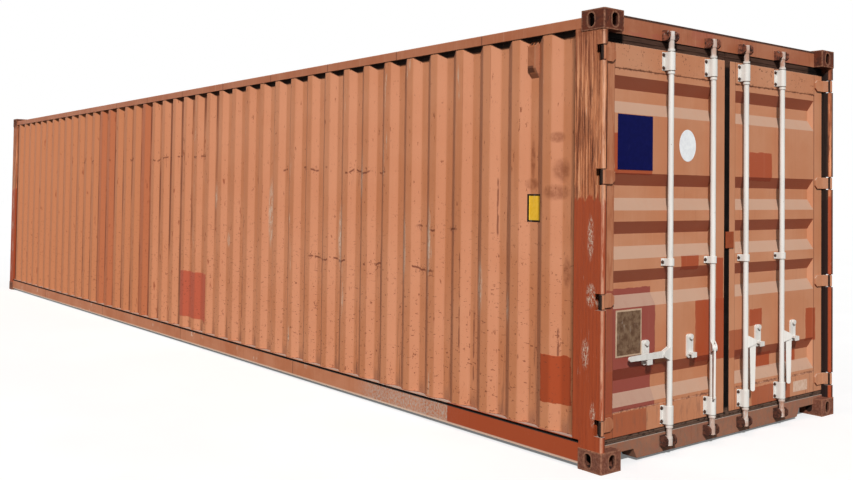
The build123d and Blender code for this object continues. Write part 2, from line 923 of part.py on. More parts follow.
for number, (place, direction, turn) in bars.items():
    with BuildPart() as lock_bar:
        with BuildSketch(Plane.XY.offset(cam_levels[0])):
            with Locations((bar_x, place)):
                Circle(bar_radius)
        extrude(amount=cam_levels[1] + cam_height - cam_levels[0])
        for level in collar_levels:
            with BuildSketch(Plane.XY.offset(level)):
                with Locations((bar_x, place)):
                    Circle(collar_radius)
            extrude(amount=collar_height)
        for level in cam_levels:
            inward = gear_plane(number, 0).z_dir * -direction
            with BuildSketch(Plane.XY.offset(level)):
                with Locations((bar_x, place)):
                    Circle(cam_hub)
                lobe = Vector(bar_x, place) + inward * (cam_radius - cam_tip)
                with Locations((lobe.X, lobe.Y)):
                    Circle(cam_tip)
                make_hull()
            extrude(amount=cam_height)
        for offset_side in (-1, 1):
            with BuildSketch(gear_plane(number, offset_side * hub_offset)):
                with Locations((hub_start, 0)):
                    Rectangle(cross_member_plate, hub_height)
                with Locations((handle_pivot, 0)):
                    Circle(hub_boss)
                make_hull()
            extrude(amount=hub_plate / 2, both=True)
        with BuildSketch(gear_plane(number, 0)):
            with Locations((handle_pivot, 0)):
                Circle(rivet_radius)
        extrude(amount=hub_offset + hub_plate / 2, both=True)
    save(lock_bar, f"lock_bar_{number}")

    with BuildPart() as handle:
        reach = (handle_span, 0) if turn == 0 else (0, -handle_span)
        with BuildSketch(gear_plane(number, 0)):
            with Locations((handle_pivot, 0)):
                Circle(handle_root)
            with Locations((handle_pivot + reach[0], reach[1])):
                Circle(handle_tip)
            make_hull()
            with Locations((handle_pivot, 0)):
                Circle(rivet_radius + rivet_play, mode=Mode.SUBTRACT)
        extrude(amount=handle_plate / 2, both=True)
    save(handle, f"bar_handle_{number}")
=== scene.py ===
import json
from math import cos, pi, radians, sin

import bpy
from mathutils import Matrix, Vector


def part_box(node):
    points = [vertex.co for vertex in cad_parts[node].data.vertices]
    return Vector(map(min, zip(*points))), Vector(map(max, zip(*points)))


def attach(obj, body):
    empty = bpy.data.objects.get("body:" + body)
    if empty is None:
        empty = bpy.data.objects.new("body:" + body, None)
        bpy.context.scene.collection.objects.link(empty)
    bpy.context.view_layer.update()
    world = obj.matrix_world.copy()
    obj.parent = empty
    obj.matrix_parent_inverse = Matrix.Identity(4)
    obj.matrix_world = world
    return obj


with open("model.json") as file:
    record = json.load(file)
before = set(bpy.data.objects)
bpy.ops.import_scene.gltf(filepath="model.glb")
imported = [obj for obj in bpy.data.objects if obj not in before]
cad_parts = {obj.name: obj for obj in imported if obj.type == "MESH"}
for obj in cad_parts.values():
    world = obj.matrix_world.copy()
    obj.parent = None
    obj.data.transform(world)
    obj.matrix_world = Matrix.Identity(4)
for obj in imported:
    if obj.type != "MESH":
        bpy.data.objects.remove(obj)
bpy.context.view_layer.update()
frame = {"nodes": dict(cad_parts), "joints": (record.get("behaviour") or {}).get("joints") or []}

# Main planes of the box, read from the frame, in metres
casting_low, casting_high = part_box("top_corner_castings")
END_X = casting_high.x
SIDE_Y = casting_high.y
ROOF_Z = casting_high.z
CASTING_UNDERSIDE = casting_low.z
DOOR_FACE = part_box("left_door_frame")[1].x
DOOR_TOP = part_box("left_door_frame")[1].z
panel_low, panel_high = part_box("left_door_panel")
PANEL_FACE = panel_high.x
WINDOW_BOTTOM, WINDOW_TOP = panel_low.z, panel_high.z
WINDOW_INNER, WINDOW_OUTER = -panel_high.y, -panel_low.y
HEADER_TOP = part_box("door_header")[1].z
POST_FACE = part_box("rear_corner_post_left")[1].x
LEDGE_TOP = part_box("bottom_side_rails")[1].z
RAIL_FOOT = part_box("top_side_rails")[0].z
wall_low, wall_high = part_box("side_wall_left")
WALL_FACE = wall_low.y
WALL_BACK = wall_high.y
WALL_START, WALL_END = wall_low.x, wall_high.x
LEAF_SEAMS = (-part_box("left_door_frame")[1].y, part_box("right_door_frame")[0].y)
LEAF_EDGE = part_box("right_door_frame")[1].y
vent_low, vent_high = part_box("ventilators")
BAR_PLACES = {
    joint["child"]: joint["pos_m"]
    for joint in frame["joints"]
    if joint["child"].startswith("lock_bar")
}

# Shape of the pressed walls and of the fittings that carry bolts
WALL_PITCH = 0.278
CREST_BEND = 0.036
TROUGH_BEND = 0.104
WALL_SHEET = 0.002
WALL_SHIFT = -0.06
WALL_MIDDLE = (WALL_START + WALL_END) / 2 + WALL_SHIFT
WALL_DEPTH = WALL_BACK - WALL_FACE - WALL_SHEET
BEND_ROUND = 0.014
RAIL_SHADE = 0.034
VENT_WIDTH = 0.068
POST_INSET = 0.004
POST_FRONT = 0.034
POST_CORNER = 0.008
GUIDE_HEIGHT = 0.111
GUIDE_FOOT = 0.004
MIDDLE_GUIDE, MIDDLE_GUIDE_HEIGHT = 1.124, 0.044
BOLT_ASIDE = 0.035
BOLT_MARGIN = 0.016
CASTING_SIZE = (0.178, 0.162, 0.118)
LASH_HOLE_PLACE = (0.1035, 0.0895, 0.059)
LASH_HOLE_RADIUS = 0.0255
LASH_HOLE_STRAIGHT = 0.01425

# Bolts, beads and soft edges
BOLT_SIZES = {"Head Radius": 0.008, "Head Depth": 0.006, "Washer Radius": 0.0115, "Washer Depth": 0.002}
WELD_BEAD = {"Radius": 0.0035, "Step": 0.012, "Ripple": 0.002}
GASKET_BEAD = {"Radius": 0.005, "Step": 0.05, "Ripple": 0.0008}
BEAD_SINK = 0.0015
LIP_SINK, LIP_ASIDE = 0.002, 0.003
PLATE_SOFT, GEAR_SOFT, CASTING_SOFT = 0.002, 0.0015, 0.004
SOFT_FROM_ANGLE = radians(40)
MERGE_DISTANCE = 0.00001

# Photograph's camera, solved from the corners of the box
PHOTO_WIDTH, PHOTO_HEIGHT = 853, 480
CAMERA_PLACE = (9.6872, -5.1411, 1.5453)
CAMERA_AZIMUTH, CAMERA_ELEVATION, CAMERA_ROLL = radians(49.897), radians(-1.636), radians(0.667)
FOCAL_PIXELS = 952.1
AXIS_PIXEL = (479.55, 165.84)
SENSOR = 36.0

# Light
SUN_FROM_DOOR_NORMAL = radians(43)
SUN_ELEVATION = radians(34)
SUN_SIZE = radians(3)
SUN_STRENGTH = 3.75
SKY_STRENGTH = 0.22
FLOOR_HALF = 90.0
FLOOR_SHOWN = 0.94
FLOOR_GLOW = 0.16
FLOOR_BOUNCE = 0.22


def colour(red, green, blue):
    """Display colour, 0 to 255 a channel, as the linear colour a socket takes."""

    def linear(channel):
        share = channel / 255
        return share / 12.92 if share <= 0.04045 else ((share + 0.055) / 1.055) ** 2.4

    return (linear(red), linear(green), linear(blue), 1.0)


# Colours of the paint, the rust and the dirt, and of painted shade
FADED = colour(197, 130, 92)
WARM = colour(189, 119, 79)
CHALKY = colour(216, 166, 136)
FRESH = colour(160, 67, 32)
REPAIR_RED = colour(176, 84, 59)
REPAIR_PURPLE = colour(140, 63, 55)
DOOR_FLAT = colour(192, 133, 99)
DOOR_WARM = colour(186, 122, 86)
DOOR_DUST = colour(180, 151, 131)
DOOR_SHADE = colour(142, 56, 32)
RUST = colour(124, 64, 36)
# Dark rust, also used for painted shade under the ventilator's hood
DARK_RUST_AND_SHADE = colour(74, 40, 27)
# Brown stain, also used for painted shade on what looks down
STAIN_AND_SHADE = colour(120, 82, 66)
SCRAPED = colour(206, 184, 163)
PALE_SPECK = colour(226, 206, 188)
DUST = colour(184, 170, 158)
# Near black, laid as painted shade under things and in holes, gaps and recesses
SHADE_BLACK = colour(16, 12, 11)
PATCH_EDGE = 0.003


# Objects, camera and light


def add_object(name, data):
    made = bpy.data.objects.new(name, data)
    bpy.context.scene.collection.objects.link(made)
    return made


def add_mesh(name, points, faces, material):
    mesh = bpy.data.meshes.new(name)
    mesh.from_pydata(points, [], faces)
    mesh.materials.append(material)
    return add_object(name, mesh)


def place_camera():
    lens = bpy.data.cameras.new("photo_camera")
    lens.sensor_width = SENSOR
    lens.lens = SENSOR * FOCAL_PIXELS / PHOTO_WIDTH
    lens.shift_x = (PHOTO_WIDTH / 2 - AXIS_PIXEL[0]) / PHOTO_WIDTH
    lens.shift_y = (AXIS_PIXEL[1] - PHOTO_HEIGHT / 2) / PHOTO_WIDTH
    lens.clip_end = 4 * FLOOR_HALF
    camera = add_object("photo_camera", lens)
    turn, tilt = CAMERA_AZIMUTH, CAMERA_ELEVATION
    back = Vector((sin(turn) * cos(tilt), -cos(turn) * cos(tilt), sin(tilt)))
    level = Vector((cos(turn), sin(turn), 0))
    above = back.cross(level)
    right = level * cos(CAMERA_ROLL) + above * sin(CAMERA_ROLL)
    up = above * cos(CAMERA_ROLL) - level * sin(CAMERA_ROLL)
    turned = Matrix((right, up, back)).transposed().to_4x4()
    camera.matrix_world = Matrix.Translation(CAMERA_PLACE) @ turned
    bpy.context.scene.camera = camera


def place_sun():
    lamp = bpy.data.lights.new("key_light", "SUN")
    lamp.energy = SUN_STRENGTH
    lamp.angle = SUN_SIZE
    sun = add_object("key_light", lamp)
    turn, tilt = SUN_FROM_DOOR_NORMAL, SUN_ELEVATION
    towards = Vector((cos(turn) * cos(tilt), -sin(turn) * cos(tilt), sin(tilt)))
    sun.matrix_world = towards.to_track_quat("Z", "Y").to_matrix().to_4x4()


# Node trees


class Tone:
    """An output of a node that takes part in Python arithmetic."""

    def __init__(self, nodes, socket):
        self.nodes = nodes
        self.socket = socket

    def beside(self, name):
        """Another output of the same node."""
        return Tone(self.nodes, self.socket.node.outputs[name])

    def math(self, operation, *values):
        return self.nodes.node("ShaderNodeMath", {"operation": operation}, dict(enumerate(values)))

    def __add__(self, other):
        return self.math("ADD", self, other)

    def __radd__(self, other):
        return self.math("ADD", other, self)

    def __sub__(self, other):
        return self.math("SUBTRACT", self, other)

    def __rsub__(self, other):
        return self.math("SUBTRACT", other, self)

    def __mul__(self, other):
        return self.math("MULTIPLY", self, other)

    def __rmul__(self, other):
        return self.math("MULTIPLY", other, self)

    def __truediv__(self, other):
        return self.math("DIVIDE", self, other)

    def __rtruediv__(self, other):
        return self.math("DIVIDE", other, self)

    def __abs__(self):
        return self.math("ABSOLUTE", self)

    def fraction(self):
        return self.math("FRACT", self)

    def root(self):
        return self.math("SQRT", self)

    def sign(self):
        return self.math("SIGN", self)

    def least(self, other):
        return self.math("MINIMUM", self, other)

    def most(self, other):
        return self.math("MAXIMUM", self, other)


class Nodes:
    """One node tree, emptied and built up node by node."""

    def __init__(self, tree):
        self.tree = tree
        tree.nodes.clear()

    def node(self, kind, settings=None, sockets=None, output=0):
        """Make a node: its settings first, then its sockets, then the output that is wanted."""
        made = self.tree.nodes.new(kind)
        for name, value in (settings or {}).items():
            setattr(made, name, value)
        for key, value in (sockets or {}).items():
            for part in value if isinstance(value, list) else [value]:
                if isinstance(part, Tone):
                    self.tree.links.new(part.socket, made.inputs[key])
                else:
                    made.inputs[key].default_value = part
        return Tone(self, made.outputs[output]) if made.outputs else None

    def split(self, vector):
        """The three parts of a vector."""
        first = self.node("ShaderNodeSeparateXYZ", sockets={0: vector}, output="X")
        return first, first.beside("Y"), first.beside("Z")


class Finish(Nodes):
    """A material built up in layers: a base, then one worn or painted layer over another."""

    def __init__(self, name):
        self.material = bpy.data.materials.new(name)
        self.material.use_nodes = True
        super().__init__(self.material.node_tree)
        self.place = self.node("ShaderNodeTexCoord", output="Object")
        self.x, self.y, self.z = self.split(self.place)
        self.normal = self.node("ShaderNodeNewGeometry", output="True Normal")
        self.facing = self.split(self.normal)
        self.height = 0.0

    def spread(self, scale, seed):
        """Object coordinates, stretched by one number or one for each axis, and moved by a seed."""
        scales = scale if isinstance(scale, tuple) else (scale,) * 3
        moved = (seed, seed * 1.7, seed * 2.3)
        sockets = {0: self.place, 1: scales, 2: moved}
        return self.node("ShaderNodeVectorMath", {"operation": "MULTIPLY_ADD"}, sockets)

    def noise(self, scale, seed, detail=5.0, rough=0.6):
        """Cloudy noise from 0 to 1."""
        sockets = {
            "Vector": self.spread(scale, seed),
            "Scale": 1.0,
            "Detail": detail,
            "Roughness": rough,
        }
        return self.node("ShaderNodeTexNoise", sockets=sockets)

    def rise(self, value, start, stop):
        """Smooth step from 0 at start to 1 at stop."""
        sockets = {"Value": value, "From Min": start, "From Max": stop}
        return self.node("ShaderNodeMapRange", {"interpolation_type": "SMOOTHSTEP"}, sockets)

    def flecks(self, scale, seed, start, stop, detail=5.0, rough=0.7):
        """1 in the peaks of a noise."""
        return self.rise(self.noise(scale, seed, detail, rough), start, stop)

    def near(self, value, middle, half, soft):
        """1 where a value lies within half of middle, 0 beyond the soft edge."""
        return self.rise(abs(value - middle), half + soft, half)

    def between(self, value, ends, soft):
        """1 from one end of a stretch to the other, 0 beyond the soft edge."""
        start, stop = ends
        return self.near(value, (start + stop) / 2, (stop - start) / 2, soft)

    def patch(self, across, box, ragged):
        """1 inside a box of one coordinate and the height, with edges that a ragged value pushes."""
        inside = self.between(across + ragged, box[:2], PATCH_EDGE)
        return inside * self.between(self.z + ragged, box[2:], PATCH_EDGE)

    def cloud(self, across, box):
        """Soft oval that fills a box of one coordinate and the height."""
        from_a, to_a, from_z, to_z = box
        a = (across - (from_a + to_a) / 2) / ((to_a - from_a) / 2)
        z = (self.z - (from_z + to_z) / 2) / ((to_z - from_z) / 2)
        return self.rise(a * a + z * z, 1.0, 0.1)

    def all_of(self, masks):
        """The strongest of several masks at each point."""
        first, *others = masks
        for other in others:
            first = first.most(other)
        return first

    def mix(self, share, first, second):
        """Blend of two colours."""
        sockets = {0: share, 6: first, 7: second}
        return self.node("ShaderNodeMix", {"data_type": "RGBA"}, sockets, 2)

    def start(self, share, first, second, roughness):
        """Base coat, blended from two colours."""
        self.colour = self.mix(share, first, second)
        self.roughness = roughness

    def coat(self, scale, seed, first, second, roughness, ends=(0.35, 0.65)):
        """Base coat, clouded from one colour to another."""
        self.start(self.rise(self.noise(scale, seed), *ends), first, second, roughness)

    def lay(self, mask, over, roughness=None, step=None):
        """Lay a colour over what is there, where the mask is 1, and raise or sink it by a step."""
        self.colour = self.mix(mask, self.colour, over)
        if roughness is not None:
            self.roughness = self.roughness + mask * (roughness - self.roughness)
        if step is not None:
            self.height = mask * step + self.height

    def close(self, specular=0.3, relief=0.002, metallic=0.0, glow=(0, 0, 0, 1)):
        bump = {"Strength": 1.0, "Distance": relief, "Height": self.height, "Normal": self.normal}
        sockets = {
            "Base Color": self.colour,
            "Roughness": self.roughness,
            "Metallic": metallic,
            "Specular IOR Level": specular,
            "Emission Color": glow,
            "Emission Strength": 1.0,
            "Normal": self.node("ShaderNodeBump", sockets=bump),
        }
        shader = self.node("ShaderNodeBsdfPrincipled", sockets=sockets)
        self.node("ShaderNodeOutputMaterial", sockets={"Surface": shader})
        return self.material


# Finishes of the painted steel


def weathering(paint, amount):
    """Wear that all the painted steel shares: cloudy fading, streaks, rust spots and grain."""
    streak = paint.noise((30, 30, 0.8), 7.4, 6, 0.65)
    paint.lay(paint.rise(streak, 0.55, 0.8) * (0.35 * amount), CHALKY)
    paint.lay(paint.rise(streak, 0.45, 0.25) * (0.35 * amount), RUST)
    paint.lay(paint.flecks(0.9, 3.1, 0.55, 0.8) * (0.3 * amount), FRESH)
    paint.lay(paint.flecks(46, 11.3, 0.7, 0.75, 4) * (0.8 * amount), RUST, 0.85, -0.3)
    paint.lay(paint.flecks(110, 15.7, 0.73, 0.77, 3) * (0.7 * amount), PALE_SPECK, 0.7)
    paint.height = paint.noise(240, 2.0, 3) * 0.2 + paint.height


def settle_dust_and_shade(paint):
    """Dust on what looks up, painted shade, near black, on what looks down."""
    looks_up = paint.facing[2]
    paint.lay(paint.rise(looks_up, 0.7, 0.95) * 0.75, DUST, 0.85)
    # Painted shade, near black, on what looks down
    paint.lay(paint.rise(looks_up, -0.6, -0.9) * 0.94, SHADE_BLACK, 0.9)


def roll_bends(paint, from_crest):
    """Shade the bends of a side wall as rolled, not sharp."""
    away = abs(from_crest)
    slope = paint.rise(away, CREST_BEND - BEND_ROUND, CREST_BEND + BEND_ROUND)
    slope = slope - paint.rise(away, TROUGH_BEND - BEND_ROUND, TROUGH_BEND + BEND_ROUND)
    lean = WALL_DEPTH / (WALL_DEPTH**2 + (TROUGH_BEND - CREST_BEND) ** 2) ** 0.5
    inwards = paint.facing[1].sign()
    outside = (paint.y * paint.facing[1]).sign()
    along = slope * from_crest.sign() * outside * lean
    across = inwards * (1 - along * along).root()
    rolled = paint.node("ShaderNodeCombineXYZ", sockets={0: along, 1: across})
    share = paint.rise(abs(paint.facing[1]), 0.5, 0.6)
    sockets = {0: share, 4: paint.normal, 5: rolled}
    paint.normal = paint.node("ShaderNodeMix", {"data_type": "VECTOR"}, sockets, 1)


def side_wall_base(name):
    paint = Finish(name)
    paint.coat(1.4, 1.0, WARM, FADED, 0.55)
    weathering(paint, 0.4)
    # Painted light: the slopes that face the doors are laid lighter and pinker
    paint.lay(paint.rise(paint.facing[0], 0.2, 0.4) * 0.4, colour(200, 138, 108))
    from_crest = (((paint.x - WALL_MIDDLE) / WALL_PITCH).fraction() - 0.5) * WALL_PITCH
    hollow = paint.rise(abs(from_crest), 0.09, 0.125)
    worn = paint.flecks((9, 9, 1.1), 23.0, 0.48, 0.66)
    # Painted shade: the slopes that face away from the doors are laid darker
    paint.lay(paint.rise(paint.facing[0], -0.2, -0.4) * 0.35, colour(132, 78, 58))
    at_bend = paint.near(from_crest, -TROUGH_BEND, 0.001, 0.006)
    paint.lay(at_bend * worn * 0.7, DARK_RUST_AND_SHADE, 0.85)
    paint.lay(paint.near(abs(from_crest), CREST_BEND, 0.001, 0.004) * worn * 0.35, RUST, 0.8)
    low = paint.rise(paint.z, 1.05, 0.2)
    runs = paint.flecks((34, 34, 1.6), 51.0, 0.52, 0.68)
    paint.lay(hollow * low * runs * 0.8, DARK_RUST_AND_SHADE, 0.85)
    paint.lay(hollow * paint.rise(paint.z, 0.28, 0.17) * 0.5, STAIN_AND_SHADE, 0.9)
    paint.lay(hollow * paint.flecks((60, 60, 3.5), 57.0, 0.6, 0.7) * worn * 0.7, RUST, 0.85)
    paint.lay(paint.flecks((38, 38, 14), 59.0, 0.65, 0.7, 3) * 0.75, RUST, 0.85, -0.3)
    # Painted shadow, near black, under the top rail, deeper where the wall lies further back
    sunk = paint.rise(abs(from_crest), CREST_BEND - 0.01, TROUGH_BEND) * RAIL_SHADE
    paint.lay(paint.rise(paint.z - RAIL_FOOT + sunk, -0.004, 0.006) * 0.96, SHADE_BLACK, 0.9)
    roll_bends(paint, from_crest)
    return paint, from_crest


def crack_row(paint, start, stop, level, seed):
    """Row of short rust cracks across the corrugations, with blots and runs under them."""
    drift = (paint.noise((4, 4, 0), seed, 3) - 0.5) * 0.14
    height = paint.z + drift
    dashes = paint.flecks((8, 8, 0), seed + 3, 0.5, 0.55, 2)
    blots = paint.flecks((55, 55, 40), seed + 5, 0.56, 0.62)
    runs = paint.flecks((70, 70, 3), seed + 8, 0.58, 0.66) * paint.near(height, level - 0.05, 0.04, 0.05)
    line = paint.near(height, level, 0.004, 0.006).most(paint.near(height, level, 0.03, 0.02) * blots)
    inside = paint.between(paint.x, (start, stop), 0.06)
    paint.lay(line.most(runs * 0.6) * dashes * inside * 0.8, colour(100, 46, 30), 0.9)


# Left side as the photograph shows it: lengths along the box, then heights, and a seed for each crack row
CRACK_ROWS = (
    (3.3, 4.0, 1.69, 4.0),
    (2.2, 3.1, 1.73, 27.0),
    (4.35, 4.87, 1.3, 9.0),
    (2.9, 4.5, 1.01, 14.0),
    (-2.9, 0.8, 1.88, 19.0),
)
PATCHES = ((0.26, 0.907, 0.272, 0.726, REPAIR_RED), (5.59, 5.81, 0.322, 0.6, FRESH))
SMUDGES = (
    (5.66, 5.8, 1.6, 1.77),
    (5.58, 5.81, 1.5, 1.61),
    (5.64, 5.76, 1.84, 1.92),
    (5.45, 5.5, 1.6, 1.9),
    (5.41, 5.54, 1.56, 1.65),
    (5.73, 5.81, 0.98, 1.2),
)
SCUFFS = (
    (4.96, 5.06, 0.7, 1.18),
    (3.25, 3.36, 0.9, 1.5),
    (4.13, 4.22, 0.85, 1.45),
    (4.43, 4.51, 0.95, 1.5),
    (3.56, 3.66, 1.4, 1.9),
    (1.01, 1.07, 1.32, 1.64),
    (1.29, 1.36, 1.0, 1.16),
    (2.1, 2.2, 1.0, 1.7),
    (5.24, 5.3, 0.72, 0.95),
)
STREAKS = (
    (4.82, 0.55, 1.15),
    (4.93, 0.35, 0.8),
    (4.42, 0.4, 1.0),
    (3.86, 0.3, 0.95),
    (5.16, 1.3, 1.62),
    (2.76, 0.3, 1.1),
    (1.62, 0.4, 1.3),
    (5.71, 0.6, 0.74),
    (0.35, 1.6, 2.05),
    (-0.66, 1.5, 1.9),
    (-2.74, 0.5, 0.9),
    (-1.36, 0.5, 0.75),
)
OLD_SHEET_END, OLD_SHEET_BLEND = -0.63, 2.4
DARK_SHEETS = ((-0.93, -0.63), (-1.93, -1.75), (-2.2, -2.04))
LINED_SHEETS = (-3.7, 1.2)
SCUFFED = (0.6, 4.8)


def left_wall_paint():
    """Sun-faded sheets of several ages, with cracks, scuffs, rust runs and repainted patches."""
    paint, from_crest = side_wall_base("left_wall_paint")
    x, z = paint.x, paint.z
    paint.lay(paint.rise(x, OLD_SHEET_END, OLD_SHEET_END - 0.02) * 0.75, colour(179, 111, 72))
    paint.lay(paint.rise(x, OLD_SHEET_END + OLD_SHEET_BLEND, OLD_SHEET_END) * 0.4, WARM)
    dark = paint.all_of(paint.between(x, ends, 0.01) for ends in DARK_SHEETS)
    paint.lay(dark * 0.4, FRESH)
    for start, stop, level, seed in CRACK_ROWS:
        crack_row(paint, start, stop, level, seed)
    on_crest = paint.near(from_crest, -0.02, 0.02, 0.01)
    scuff = paint.flecks((45, 45, 4), 17.0, 0.55, 0.66, 6, 0.75)
    held = paint.flecks((3.6, 3.6, 0.7), 41.0, 0.5, 0.6, 2)
    paint.lay(scuff * on_crest * held * paint.between(x, SCUFFED, 0.3), SCRAPED, 0.7, -0.4)
    paint.lay(paint.flecks((80, 80, 5), 61.0, 0.68, 0.74) * on_crest * held, PALE_SPECK, 0.6)
    scuffs = paint.all_of(paint.cloud(x, box) for box in SCUFFS)
    paint.lay(scuffs * paint.flecks((130, 130, 16), 65.0, 0.46, 0.55, 6, 0.8) * 0.95, SCRAPED, 0.7)
    wander = x + (paint.noise((0, 0, 5), 68.0, 3) - 0.5) * 0.012
    streaks = paint.all_of(
        paint.near(wander, place, 0.003, 0.005) * paint.between(z, (foot, top), 0.03)
        for place, foot, top in STREAKS
    )
    paint.lay(streaks * paint.flecks((20, 20, 6), 69.0, 0.4, 0.55) * 0.75, colour(104, 52, 34), 0.85)
    lined = paint.between(x, LINED_SHEETS, 0.05)
    lines = paint.rise(abs(from_crest), 0.108, 0.12) * paint.flecks((2.5, 2.5, 0.5), 73.0, 0.42, 0.58, 3)
    paint.lay(lines * lined * 0.75, colour(98, 48, 32), 0.85)
    blots = paint.flecks((15, 15, 5), 97.0, 0.64, 0.7, 3) * paint.rise(x, 2.4, 1.2)
    paint.lay(blots * 0.75, colour(138, 66, 38), 0.85)
    ragged = (paint.noise(14, 71.0, 4) - 0.5) * 0.03
    for *box, over in PATCHES:
        paint.lay(paint.patch(x, box, ragged), over, 0.5, 0.3)
    dings = paint.flecks((26, 26, 60), 83.0, 0.62, 0.66, 3) * paint.rise(z, 1.9, 0.5)
    paint.lay(dings * 0.8, colour(112, 56, 36), 0.85)
    paint.lay(paint.flecks((90, 90, 22), 89.0, 0.64, 0.69, 4) * 0.6, colour(120, 66, 44), 0.85)
    smudges = paint.all_of(paint.cloud(x, box) for box in SMUDGES)
    paint.lay(smudges * (0.3 + paint.flecks(24, 77.0, 0.35, 0.65) * 0.4), RUST, 0.75)
    settle_dust_and_shade(paint)
    return paint.close()


def plain_wall_paint():
    paint, from_crest = side_wall_base("plain_wall_paint")
    scuff = paint.flecks((45, 45, 4), 17.0, 0.6, 0.7, 6, 0.75) * paint.near(from_crest, 0, 0.03, 0.01)
    paint.lay(scuff * paint.flecks((2, 2, 0.7), 41.0, 0.52, 0.62, 2), SCRAPED, 0.7, -0.4)
    settle_dust_and_shade(paint)
    return paint.close()


def front_wall_paint():
    paint = Finish("front_wall_paint")
    paint.coat(1.6, 3.0, WARM, FADED, 0.55)
    weathering(paint, 0.7)
    scuff = paint.flecks((45, 45, 4), 17.0, 0.58, 0.68, 6, 0.75)
    paint.lay(scuff * paint.flecks((2, 2, 1.5), 41.0, 0.5, 0.6, 2), SCRAPED, 0.7, -0.4)
    low = paint.rise(paint.z, 0.9, 0.2)
    paint.lay(low * paint.flecks((34, 34, 1.6), 51.0, 0.5, 0.68) * 0.7, RUST, 0.85)
    settle_dust_and_shade(paint)
    return paint.close()


def roof_paint():
    paint = Finish("roof_paint")
    paint.coat(1.1, 5.0, WARM, colour(186, 122, 88), 0.6)
    weathering(paint, 0.8)
    puddles = paint.flecks((2.2, 1.1, 2), 9.0, 0.52, 0.66)
    paint.lay(puddles * 0.5, RUST, 0.8)
    paint.lay(puddles * paint.flecks(30, 13.0, 0.5, 0.6) * 0.8, DARK_RUST_AND_SHADE, 0.9, -0.5)
    paint.lay(paint.flecks((1.5, 30, 30), 21.0, 0.6, 0.72) * 0.5, DUST, 0.85)
    # Painted shade on what looks down
    paint.lay(paint.rise(paint.facing[2], -0.6, -0.9) * 0.6, STAIN_AND_SHADE, 0.8)
    return paint.close()


REPAINT_TOP = 1.53
RUSTY_HEAD = (2.15, 2.42)
POST_SCRATCHES = (
    (5.96, 6.05, 0.9, 1.06),
    (5.93, 6.0, 0.55, 0.75),
    (5.97, 6.03, 1.15, 1.45),
    (6.0, 6.05, 0.24, 0.4),
)


def post_paint():
    """Rusty streaks above, a solid repaint below, a pale worn corner, a dark joint by the door and
    painted shade on the faces that look inwards.
    """
    paint = Finish("post_paint")
    paint.coat(2.2, 1.5, colour(178, 102, 62), colour(190, 118, 78), 0.55)
    fibres = paint.noise((80, 80, 2.2), 5.0, 6, 0.75)
    paint.lay(paint.rise(fibres, 0.52, 0.6) * 0.95, colour(224, 156, 114))
    paint.lay(paint.rise(fibres, 0.49, 0.43) * 0.95, RUST, 0.75, -0.4)
    paint.lay(paint.rise(fibres, 0.42, 0.36) * 0.95, DARK_RUST_AND_SHADE, 0.85)
    paint.lay(paint.rise(paint.z, *RUSTY_HEAD) * 0.45, colour(132, 66, 42), 0.75)
    blots = paint.flecks((22, 22, 5), 9.0, 0.52, 0.62)
    paint.lay(blots * paint.flecks((95, 95, 3), 15.0, 0.4, 0.6) * 0.7, colour(96, 52, 36), 0.85)
    ragged = (paint.noise((30, 30, 6), 12.0, 5) - 0.5) * 0.22
    repaint = paint.rise(paint.z + ragged, REPAINT_TOP + 0.01, REPAINT_TOP - 0.01)
    paint.lay(repaint * 0.96, FRESH, 0.5, 0.3)
    scratched = paint.flecks((7, 7, 3), 37.0, 0.58, 0.66, 3)
    scratches = paint.flecks((160, 160, 9), 31.0, 0.6, 0.67) * scratched
    paint.lay(scratches * 0.85, PALE_SPECK, 0.7, -0.3)
    from_end = END_X - abs(paint.x)
    from_side = SIDE_Y - abs(paint.y)
    corner = paint.rise(from_end, 0.022, 0.008) * paint.rise(from_side, 0.022, 0.006)
    paint.lay(corner * paint.flecks((50, 50, 5), 43.0, 0.35, 0.55) * 0.7, CHALKY, 0.6)
    looks_out = paint.rise(paint.facing[0], 0.4, 0.9)
    joint = paint.rise(from_side, POST_FRONT - 0.012, POST_FRONT - 0.004) * looks_out
    paint.lay(joint * 0.8, DARK_RUST_AND_SHADE, 0.85)
    scraped = paint.flecks((120, 120, 40), 51.0, 0.49, 0.56, 6, 0.8)
    for box in POST_SCRATCHES:
        paint.lay(paint.cloud(abs(paint.x), box) * scraped * 0.95, SCRAPED, 0.7)
    # Painted shade, near black, on the faces that look inwards, into the door gap and the box
    inside = paint.rise(paint.facing[1] * paint.y.sign(), -0.5, -0.8) * paint.rise(from_end, 0.02, 0.028)
    paint.lay(inside * 0.97, SHADE_BLACK, 0.9)
    far_side = paint.rise(paint.y, 0.5, 0.6) * paint.rise(paint.facing[0], 0.8, 0.95)
    paint.lay(far_side * (0.4 + paint.flecks((40, 40, 3), 53.0, 0.3, 0.55) * 0.5), DARK_RUST_AND_SHADE, 0.85)
    paint.lay(far_side * paint.rise(from_side, 0.03, 0.015) * 0.8, colour(60, 36, 28), 0.85)
    under_casting = paint.rise(paint.z, CASTING_UNDERSIDE - 0.05, CASTING_UNDERSIDE)
    paint.lay(under_casting * paint.flecks(36, 47.0, 0.4, 0.6) * 0.8, RUST, 0.8)
    settle_dust_and_shade(paint)
    paint.height = paint.noise(200, 2.0, 3) * 0.2 + paint.height
    return paint.close()


TOP_RAIL_SEAM, TOP_RAIL_LENGTH = -0.2, 0.95


def top_rail_paint():
    paint = Finish("top_rail_paint")
    paint.coat(2.5, 1.5, colour(166, 96, 62), colour(175, 109, 76), 0.55)
    weathering(paint, 0.8)
    seams = ((paint.x - TOP_RAIL_SEAM) / TOP_RAIL_LENGTH).fraction()
    paint.lay(paint.near(seams, 0.5, 0.003, 0.004) * 0.7, DARK_RUST_AND_SHADE, 0.9)
    settle_dust_and_shade(paint)
    return paint.close()


